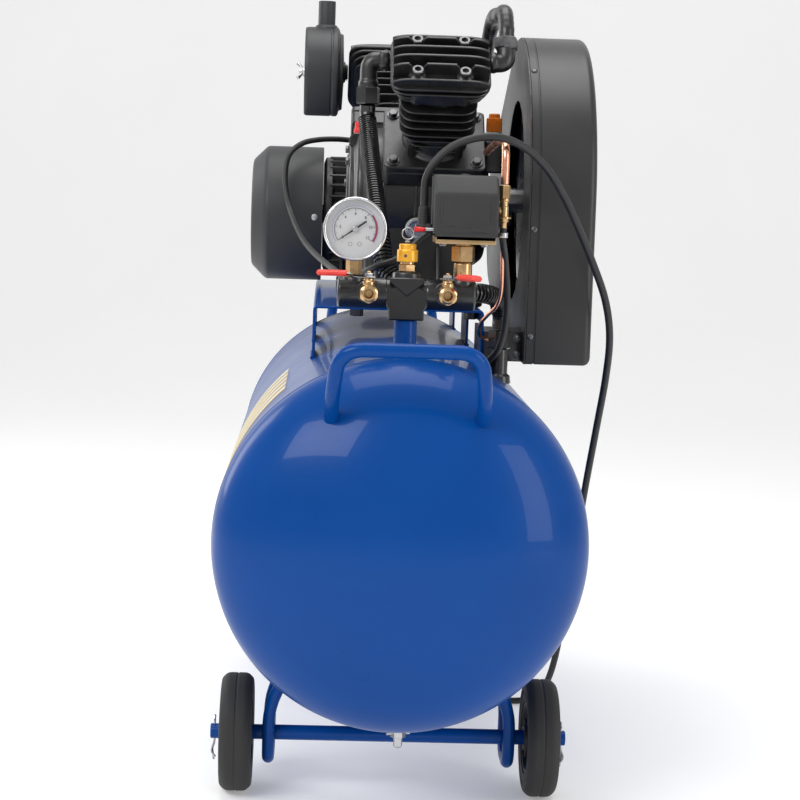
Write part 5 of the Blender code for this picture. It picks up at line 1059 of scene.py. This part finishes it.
def guardLine(inset):
    # an arc over the flywheel, an upright edge, a square corner, a level edge and an arc round the pulley
    front, rear, low = guard["front"] - inset, guard["rear"] - inset, guard["low"] + inset
    slope = math.atan2(drive["motorZ"] - pump["z"], drive["motorY"])
    lean = math.acos((front - rear) / math.hypot(drive["motorY"], drive["motorZ"] - pump["z"]))
    first = np.linspace(slope + lean, np.pi, 110)
    quarter = np.linspace(0, np.pi / 2, 6)
    span = math.hypot(drive["motorY"] - guard["turn"], drive["motorZ"] - low)
    start = math.atan2(low - drive["motorZ"], guard["turn"] - drive["motorY"]) + math.acos(rear / span)
    second = np.linspace(start, slope + lean, 70)
    r = guard["corner"]
    return np.concatenate([np.stack([front * np.cos(first), pump["z"] + front * np.sin(first)], 1),
        np.stack([r - front - r * np.cos(quarter), low + r - r * np.sin(quarter)], 1), [(guard["turn"], low)],
        np.stack([drive["motorY"] + rear * np.cos(second), drive["motorZ"] + rear * np.sin(second)], 1)])


panRows = []
for x, cutBack in steps:
    line = guardLine(cutBack)
    panRows.append(np.c_[np.full(len(line), x), line])
panRows.append(panRows[0])
guardParts = [(gridShape(np.array(panRows), True, False, False), satinBlack)]
faceLine = guardLine(0.0495)
guardParts.append((prismShape(faceLine, guard["outer"] - 0.0016 - guard["sheet"], guard["outer"] - 0.0016,
    alongX, 0.0001), satinBlack))
for index in range(11):  # pressed louvres: a rising lip over a slit, both fading out at the ends; the slit is a flat near-black strip, painted shade where an opening would be
    z = pump["z"] - 0.100 + 0.020 * index
    wide = math.sqrt(max(0.122 ** 2 - (z - pump["z"]) ** 2, 0.0002)) * 0.9
    y = np.linspace(-wide, wide, 60)[None, :]
    ends = np.clip((wide - np.abs(y)) / 0.012, 0, 1) ** 0.5
    up = np.array([-0.0060, -0.0045, -0.0020, 0.0010, 0.0030, 0.0036, 0.0036])[:, None]
    high = np.array([-0.0001, 0.0004, 0.0010, 0.0014, 0.0015, 0.0013, -0.0001])[:, None]
    lip = np.stack([guard["outer"] - 0.0016 + high * ends, y + 0 * up, z + 0.0036 + (up - 0.0036) * ends], -1)
    guardParts.append((gridShape(lip, False, False, False), satinBlack))
    # the slit itself: a thin near-black strip, painted shade standing in for the opening
    guardParts.append((softBox((guard["outer"] - 0.0018, 0.006 - wide, z + 0.0036),
        (guard["outer"] - 0.0014, wide - 0.006, z + 0.0052), 0.0001, 1), louvreShadePaint))
addPiece("beltGuardCover", guardParts, stands=["belt_guard_cover"])
screws = []
screwLine = softLine([(0, 0), (0.0034, 0), (0.0032, 0.0008), (0.0018, 0.0014), (0, 0.0015)], 0.0004, 2)
for y, z, away in ((-0.1860, 0.6050, (0, -1, 0)), (-0.1860, 0.4900, (0, -1, 0)),
    (-0.1196, 0.7765, (0, -0.643, 0.766))):
    screws.append((moved(turnedShape(screwLine, (0, 0, 0), (0, 0, 1), 24),
        facing((guard["back"] + 0.0040, y, z), away)), darkSteel))
addPiece("guardScrews", screws)
bracketParts = [(softBox((0.1030, -0.1606, 0.4606), (0.1362, -0.1592, 0.4930), 0.0005), blackGloss)]
for z in (0.4680, 0.4855):
    bracketParts.append((boltShape((0.1290, -0.1604, z), (0, -1, 0), 0.0055, 0.0032, 0.0042), darkSteel))
addPiece("guardBracket", bracketParts)
print("drive made")

# motor
motor = dict(y=0.300, z=0.606, left=-0.0865, right=0.095, radius=0.075, core=0.0655)
place = Matrix.Translation((0, motor["y"], motor["z"]))
fins = 30
k = np.arange(fins * 6)
phase = k % 6
finRadius = np.where((phase == 1) | (phase == 2), motor["radius"] - 0.0004,
    np.where((phase == 0) | (phase == 3), motor["core"] + 0.0035, motor["core"]))
offsets = np.array([0.16, 0.34, 0.46, 0.64, 0.78, 1.02])
t = 2 * np.pi * ((k // 6) + offsets[phase]) / fins
finLine = np.stack([finRadius * np.cos(t), finRadius * np.sin(t)], 1)
motorParts = [(moved(prismShape(finLine, motor["left"] + 0.008, motor["right"] - 0.014, alongX, 0.0006),
    place), satinBlack)]
bell = softLine([(0.0123, motor["left"]), (0.066, motor["left"]), (0.0735, motor["left"] + 0.003),
    (0.0735, motor["left"] + 0.012), (0.0640, motor["left"] + 0.013), (0.0123, motor["left"] + 0.013)], 0.002,
    4, closed=True)
motorParts.append((moved(turnedShape(bell, (0, 0, 0), (1, 0, 0), 96, ring=True), place), satinBlack))
bell = softLine([(0.0123, motor["right"]), (0.030, motor["right"]), (0.033, motor["right"] - 0.006),
    (0.064, motor["right"] - 0.009), (0.0745, motor["right"] - 0.014), (0.0745, motor["right"] - 0.024),
    (0.0640, motor["right"] - 0.025), (0.0123, motor["right"] - 0.025)], 0.003, 4, closed=True)
motorParts.append((moved(turnedShape(bell, (0, 0, 0), (1, 0, 0), 96, ring=True), place), satinBlack))
for index in range(4):
    angle = math.pi / 4 + index * math.pi / 2
    at = (motor["right"] - 0.0125, motor["y"] + 0.058 * math.cos(angle), motor["z"] + 0.058 * math.sin(angle))
    motorParts.append((boltShape(at, (1, 0, 0), 0.0070, 0.0050, 0.0055), darkSteel))
for side in (-1, 1):
    v = motor["y"] + side * 0.052
    for x0, x1 in ((motor["left"] + 0.020, motor["left"] + 0.050),
        (motor["right"] - 0.045, motor["right"] - 0.015)):
        motorParts.append((prismShape([(v - 0.020, 0.5150), (v + 0.020, 0.5150), (v + 0.020, 0.5230),
            (v - 0.020, 0.5230)], x0, x1, alongX, 0.0012), satinBlack))
        for x in (x0 + 0.003, x1 - 0.007):
            motorParts.append((prismShape([(v + side * 0.018, 0.5228), (v - side * 0.019, 0.5228),
                (v - side * 0.019, 0.5640), (v - side * 0.006, 0.5640)], x, x + 0.004, alongX, 0.0006),
                satinBlack))
top = 0.7215
motorParts.append((softBox((-0.040, motor["y"] - 0.035, motor["z"] + motor["radius"] - 0.012),
    (0.050, motor["y"] + 0.035, top - 0.0085), 0.004), satinBlack))
motorParts.append((softBox((-0.0395, motor["y"] - 0.0345, top - 0.0078), (0.0495, motor["y"] + 0.0345, top),
    0.0035), satinBlack))
motorParts.append((softBox((-0.0385, motor["y"] - 0.0335, top - 0.0090),
    (0.0485, motor["y"] + 0.0335, top - 0.0070), 0.0008), cordRubber))
for x in (-0.034, 0.044):
    for y in (-0.029, 0.029):
        motorParts.append((socketShape((x, motor["y"] + y, top - 0.0015), (0, 0, 1), 0.0032, 0.0018),
            zincSteel))
addPiece("motorBody", motorParts, stands=["motor_body"])
end = -0.1775
coverLine = softLine([(0.086, motor["left"] - 0.0005), (0.086, end + 0.0200), (0.0840, end + 0.0165),
    (0.0690, end + 0.0015), (0.0660, end), (0.0600, end), (0.0600, end + 0.0016), (0.0655, end + 0.0016),
    (0.0680, end + 0.0030), (0.0825, end + 0.0180), (0.0845, end + 0.0210), (0.0845, motor["left"] - 0.0005)],
    [0.0003, 0.003, 0.002, 0.003, 0.003, 0.0004, 0.0004, 0.002, 0.002, 0.002, 0.003, 0.0003], 4, closed=True)
coverParts = [(moved(turnedShape(coverLine, (0, 0, 0), (1, 0, 0), 128, ring=True), place), fanGrey)]
for r in np.linspace(0.0150, 0.0580, 7):
    t = np.linspace(0, 2 * np.pi, 96, endpoint=False)
    wire = np.stack([np.full(96, end + 0.0016), r * np.cos(t), r * np.sin(t)], 1)
    coverParts.append((moved(tubeShape(wire, 0.0014, 8, ring=True), place), fanGrey))
for index in range(6):
    bar = softBox((end + 0.0004, 0.0120, -0.0020), (end + 0.0028, 0.0620, 0.0020), 0.0008)
    coverParts.append((moved(bar, place @ Matrix.Rotation(index * math.pi / 3, 4, "X")), fanGrey))
coverParts.append((moved(turnedShape([(0, 0), (0.0155, 0), (0.0155, 0.0022), (0, 0.0026)],
    (end + 0.0026, 0, 0), (-1, 0, 0), 40), place), fanGrey))
coverScrews = []
for index in range(3):
    angle = math.radians(62 + index * 120)
    at = (motor["left"] - 0.010, motor["y"] + 0.0855 * math.cos(angle), motor["z"] + 0.0855 * math.sin(angle))
    head = turnedShape(softLine([(0, 0), (0.0044, 0), (0.0040, 0.0006), (0, 0.0008)], 0.0003, 2), (0, 0, 0),
        (0, 0, 1), 24)
    coverScrews.append((moved(head, facing(at, (0, math.cos(angle), math.sin(angle)))), zincSteel))
addPiece("fanCover", coverParts, stands=["fan_cover"])
addPiece("fanCoverScrews", coverScrews)
print("motor made")

# discharge line
line = dict(portY=-0.14849, portZ=0.78249, fin=0.0101, core=0.0076, pitch=0.0038)
py, pz = line["portY"], line["portZ"]
tubeY = py + 0.035
headLeft, headRight = 0.037 - 0.054 - 0.0003, 0.037 + 0.054 + 0.0003


def evenPath(points, spacing):
    # the same route with its points evenly spaced along it
    points = np.asarray(points, float)
    far = np.r_[0, np.linalg.norm(np.diff(points, axis=0), axis=1).cumsum()]
    even = np.linspace(0, far[-1], max(3, int(far[-1] / spacing)))
    return np.stack([np.interp(even, far, points[:, c]) for c in range(3)], 1), even


elbowPath, far = evenPath(softLine([(headLeft, tubeY, pz), (-0.040, tubeY, pz), (-0.040, tubeY, pz - 0.030)],
    0.013, 10), 0.0012)
firstRing = 0.0022 * np.exp(-((far - 0.004) / 0.003) ** 4)
lastRing = 0.0016 * np.exp(-((far - far[-1] + 0.004) / 0.004) ** 4)
collar = 0.0095 + firstRing + lastRing
elbowParts = [(tubeShape(elbowPath, np.minimum(collar, 0.0117), 40), castBlack),
    (prismShape(ngonLine(6, 0.0232, 0.3), pz - 0.0478, pz - 0.0290, Matrix.Translation((-0.040, tubeY, 0)),
    0.0012), castBlack), (softBox((-0.0300, tubeY - 0.0115, pz - 0.0100),
    (headLeft, tubeY + 0.0115, pz + 0.0100), 0.0045), castBlack)]
addPiece("leftElbow", elbowParts, stands=["left_elbow"])
bottom = pz - 0.048
route = smoothPath([(-0.040, tubeY, bottom - 0.0003), (-0.040, tubeY, bottom - 0.014),
    (-0.038, tubeY - 0.020, 0.700), (-0.0335, -0.200, 0.652), (-0.026, -0.260, 0.5980),
    (-0.018, -0.278, 0.562), (0.010, -0.288, 0.5420), (0.050, -0.286, 0.5400), (0.080, -0.275, 0.5400),
    (0.0985, -0.248, 0.5330), (0.1040, -0.235, 0.5160), (0.1040, -0.235, 0.5002)], 0.004)
rough, far = evenPath(route, 0.0008)
fins = round(far[-1] / line["pitch"])
places = far[-1] * (np.arange(fins)[:, None] + np.array([0.06, 0.36, 0.50, 0.92])).ravel() / fins
route = np.stack([np.interp(places, far, rough[:, c]) for c in range(3)], 1)
finned = np.tile([line["fin"], line["fin"], line["core"], line["core"]], fins)
finned = np.where((places > 0.016) & (places < far[-1] - 0.018), finned, line["core"] + 0.0012)
addPiece("dischargeTube", [(tubeShape(route, finned, 26), blackGloss)], stands=["discharge_tube"],
    sharp=28)
cx, cy = 0.1040, -0.235
checkParts = [(prismShape(ngonLine(6, 0.0218, 0.1), 0.4805, 0.4996, Matrix.Translation((cx, cy, 0)), 0.0012),
    blackGloss), (turnedShape(softLine([(0, 0.4440), (0.0130, 0.4440), (0.0120, 0.4520), (0.0092, 0.4540),
    (0.0092, 0.4800), (0, 0.4805)], 0.0008, 3), (cx, cy, 0), (0, 0, 1), 48), blackGloss)]
addPiece("checkValve", checkParts, stands=["check_valve"])

elbowPath, far = evenPath(softLine([(headRight, py + 0.010, pz), (0.108, py + 0.010, pz),
    (0.108, py + 0.0160, pz + 0.020)], 0.011, 10), 0.0012)
rightParts = [(tubeShape(elbowPath, 0.0102 + 0.0012 * np.exp(-((far - 0.003) / 0.003) ** 4), 40), castBlack),
    (moved(prismShape(ngonLine(6, 0.0232, 0.25), -0.0005, 0.0125, edge=0.0012),
    facing((0.108, py + 0.0150, pz + 0.0152), (0, 0.003, 0.013))), darkSteel)]
addPiece("rightElbow", rightParts, stands=["right_elbow"])
rearSide = 0.007 + 0.067 + 0.0003
cross = smoothPath([(0.108, py + 0.0182, pz + 0.0285), (0.108, py + 0.0205, pz + 0.0385),
    (0.107, py + 0.040, pz + 0.056), (0.106, -0.050, 0.8400), (0.105, 0.005, 0.8430), (0.105, 0.060, 0.8300),
    (0.104, 0.105, 0.8080), (0.098, 0.135, 0.7900), (rearSide + 0.012, 0.147, 0.7840),
    (rearSide, 0.147, 0.7840)], 0.004)
cross, far = evenPath(cross, 0.002)
rough = 0.0086 + 0.0003 * np.sin(far * 900) + 0.0002 * np.sin(far * 2130 + 1)
addPiece("crossoverPipe", [(tubeShape(cross, rough, 32), castBlack)], stands=["crossover_pipe"])

# air filter
filt = dict(y=0.150, z=0.7815)
rearLeft = 0.007 - 0.067 - 0.0003
fx = rearLeft - 0.0515
canLine = softLine([(0, fx - 0.0012), (0.0525, fx - 0.0012), (0.0535, fx + 0.002), (0.0535, fx + 0.030),
    (0.0528, fx + 0.0305), (0.0528, fx + 0.0325), (0.0535, fx + 0.033), (0.0535, fx + 0.0385),
    (0.0500, fx + 0.0405), (0.0465, fx + 0.0410), (0.0455, fx + 0.0450), (0.0200, fx + 0.0460),
    (0.0125, fx + 0.0465), (0.0125, fx + 0.0480), (0.0085, fx + 0.0485), (0.0085, fx + 0.0514),
    (0, fx + 0.0514)], 0.0016, 4)
filterParts = [(turnedShape(canLine, (0, filt["y"], filt["z"]), (1, 0, 0), 128), fanGrey)]
for k in range(3):
    x = fx + 0.0478 + 0.0011 * k
    filterParts.append((turnedShape([(0.007, x), (0.0104, x + 0.0002), (0.0104, x + 0.0006),
        (0.007, x + 0.0008)], (0, filt["y"], filt["z"]), (1, 0, 0), 40, ring=True), fanGrey))
sx = fx + 0.024
tubeLine = softLine([(0.0086, filt["z"] + 0.038), (0.0104, filt["z"] + 0.038), (0.0104, 0.8655),
    (0.0098, 0.8663), (0.0090, 0.8663), (0.0086, 0.8650)], 0.0003, 2, closed=True)
filterParts.append((turnedShape(tubeLine, (sx, filt["y"], 0), (0, 0, 1), 56, ring=True), fanGrey))
filterParts.append((turnedShape(softLine([(0.0104, filt["z"] + 0.046), (0.0150, filt["z"] + 0.0500),
    (0.0135, filt["z"] + 0.0545), (0.0104, filt["z"] + 0.0570)], 0.002, 3, closed=True), (sx, filt["y"], 0),
    (0, 0, 1), 56, ring=True), fanGrey))
filterParts.append((turnedShape([(0, filt["z"] + 0.040), (0.0087, filt["z"] + 0.040),
    (0.0087, filt["z"] + 0.041), (0, filt["z"] + 0.041)], (sx, filt["y"], 0), (0, 0, 1), 40), darkSteel))
filterParts.append((turnedShape(softLine([(0, 0), (0.0070, 0), (0.0062, 0.0030), (0.0042, 0.0036),
    (0.0040, 0.0070), (0, 0.0078)], 0.0008, 3), (fx - 0.0010, filt["y"], filt["z"]), (-1, 0, 0), 32),
    zincSteel))
for side in (-1, 1):
    wing = smoothPath([(fx - 0.0045, filt["y"] + side * 0.002, filt["z"] + 0.002 * side),
        (fx - 0.0068, filt["y"] + side * 0.006, filt["z"] + 0.006 * side),
        (fx - 0.0098, filt["y"] + side * 0.0095, filt["z"] + 0.009 * side)], 0.0008)
    filterParts.append((tubeShape(wing, 0.0011 + 0.0012 * np.linspace(0, 1, len(wing)) ** 0.5, 12),
        zincSteel))
addPiece("airFilter", filterParts, stands=["air_filter"])
print("pipes and filter made")

# cords
cordGeometry = dict(mains=0.0080, lead=0.0070, coilX=0.045, coilY=0.190, coilRadius=0.045, turns=3,
    pitch=0.0085)
gx, gy = gland["x"], gland["y"]
mainsRoute = [(gx, gy, 0.6283), (gx, gy, 0.640), (0.0165, -0.3270, 0.656), (0.0245, -0.329, 0.672),
    (0.0405, -0.330, 0.6875), (0.0640, -0.330, 0.6970), (0.0890, -0.329, 0.6985), (0.1150, -0.320, 0.6890),
    (0.1390, -0.302, 0.6700), (0.1600, -0.278, 0.6430), (0.1790, -0.252, 0.6120), (0.1990, -0.226, 0.5750),
    (0.2180, -0.203, 0.5330), (0.2280, -0.178, 0.4920), (0.2310, -0.140, 0.4440), (0.2300, -0.090, 0.3820),
    (0.2270, -0.035, 0.3020), (0.2240, 0.020, 0.2120), (0.2200, 0.068, 0.1240), (0.2140, 0.104, 0.0560),
    (0.2020, 0.128, 0.0180), (0.1800, 0.140, 0.0055), (0.1560, 0.1430, 0.0047), (0.1250, 0.1430, 0.0047),
    (0.0920, 0.1415, 0.0047)]
spiral = np.linspace(0, 1, 3 * 24 + 12)
turned = -90 + 20 - (360 * cordGeometry["turns"] + 191.6 - 20) * spiral  # degrees, clockwise seen from above
rise = np.clip((spiral - 0.04) / 0.70, 0, 1) * cordGeometry["pitch"] * 2
coilR = cordGeometry["coilRadius"] + 0.0055 * np.clip(1 - spiral / 0.06, 0,
    1) ** 2 + 0.0230 * np.clip((spiral - 0.885) / 0.115, 0, 1) ** 1.6
coilPoints = np.stack([cordGeometry["coilX"] + coilR * np.cos(np.radians(turned)),
    cordGeometry["coilY"] + coilR * np.sin(np.radians(turned)),
    0.0047 + rise - 0.0034 * np.clip((spiral - 0.885) / 0.115, 0, 1)], 1)
wholeRoute = np.concatenate([np.array(mainsRoute), coilPoints, [(0.0440, 0.2573, 0.0183)]])
mainsPath, far = evenPath(smoothPath(wholeRoute, 0.003), 0.0035)
mainsCord = addPiece("mainsCord", [(tubeShape(mainsPath, cordGeometry["mains"] / 2, 18), cordRubber)],
    stands=["mains_cord", "cord_coil"])
tie = softLine([(-0.0068, 0.0006), (0.0068, 0.0006), (0.0068, 0.0262), (-0.0068, 0.0262)], 0.0040, 5,
    closed=True)
tieInner = softLine([(-0.0056, 0.0018), (0.0056, 0.0018), (0.0056, 0.0250), (-0.0056, 0.0250)], 0.0034, 5,
    closed=True)
tieRows = [np.stack([o[:, 0], np.full(len(o), y), o[:, 1]], 1) for o,
    y in ((tie, -0.006), (tie, 0.006), (tieInner, 0.006), (tieInner, -0.006), (tie, -0.006))]
coilTie = addPiece("coilTie", [(moved(gridShape(np.array(tieRows), True, False, False),
    Matrix.Translation((0.045 + 0.045, 0.190, 0))), mouldedBlack)])
plugX, plugY, plugZ = 0.035, 0.2573, 0.0183
plugLine = softLine([(0, 0.0), (0.0060, 0.0), (0.0075, 0.006), (0.0125, 0.012), (0.0168, 0.018),
    (0.0170, 0.030), (0.0178, 0.0320), (0.0178, 0.0370), (0.0168, 0.0378), (0, 0.0378)], 0.0015, 4)
plugParts = [(turnedShape(plugLine, (plugX, plugY, plugZ), (1, 0, 0), 56), cordRubber)]
for side in (-1, 1):
    plugParts.append((turnedShape(softLine([(0, 0.030), (0.0024, 0.030), (0.0024, 0.0545), (0.0012, 0.0569),
        (0, 0.0569)], 0.0008, 3), (plugX - 0.0002, plugY + side * 0.0095, plugZ), (1, 0, 0), 24), brassMetal))
for k in range(5):
    plugParts.append((softBox((plugX + 0.019 + 0.002 * k, plugY - 0.006, plugZ + 0.0160),
        (plugX + 0.020 + 0.002 * k, plugY + 0.006, plugZ + 0.0176), 0.0004), cordRubber))
plug = addPiece("plugBody", plugParts, stands=["plug"])

leadRoute = [(-0.0403, 0.268, 0.7020), (-0.0560, 0.268, 0.7020), (-0.0700, 0.262, 0.7025),
    (-0.0930, 0.250, 0.7010), (-0.1150, 0.232, 0.6950), (-0.1310, 0.208, 0.6790), (-0.1345, 0.196, 0.6480),
    (-0.1270, 0.178, 0.6130), (-0.1130, 0.120, 0.5840), (-0.0980, 0.030, 0.5680), (-0.0820, -0.060, 0.5580),
    (-0.0660, -0.150, 0.5500), (-0.0600, -0.235, 0.5480), (-0.0330, -0.305, 0.5640),
    (-0.0050, -0.306, 0.5760), (0.0150, -0.290, 0.5950), (0.0350, -0.278, 0.6080), (0.0450, -0.284, 0.6120),
    (0.0450, -0.2997, 0.6120)]
leadPath, far = evenPath(smoothPath(leadRoute, 0.003), 0.0035)
motorLead = addPiece("motorLead", [(tubeShape(leadPath, cordGeometry["lead"] / 2, 16), cordRubber)],
    stands=["motor_lead"])
leadGland = turnedShape(softLine([(0.0036, 0), (0.0080, 0), (0.0080, 0.005), (0.0056, 0.007), (0.0045, 0.014),
    (0.0036, 0.014)], 0.0006, 3, closed=True), (-0.0401, 0.268, 0.7020), (-1, 0, 0), 40, ring=True)
addPiece("leadGland", [(leadGland, mouldedBlack)])
print("cords made")

# CAD pieces that stay: each gets its finish
for name, finish in (("front_piston", castAluminium), ("rear_piston", castAluminium),
    ("crankshaft", turnedIron), ("motor_shaft", turnedIron), ("motor_fan", mouldedBlack),
    ("belt_guard_back", satinBlack)):
    node = frame["nodes"][name]
    node.data.materials.clear()
    node.data.materials.append(finish)
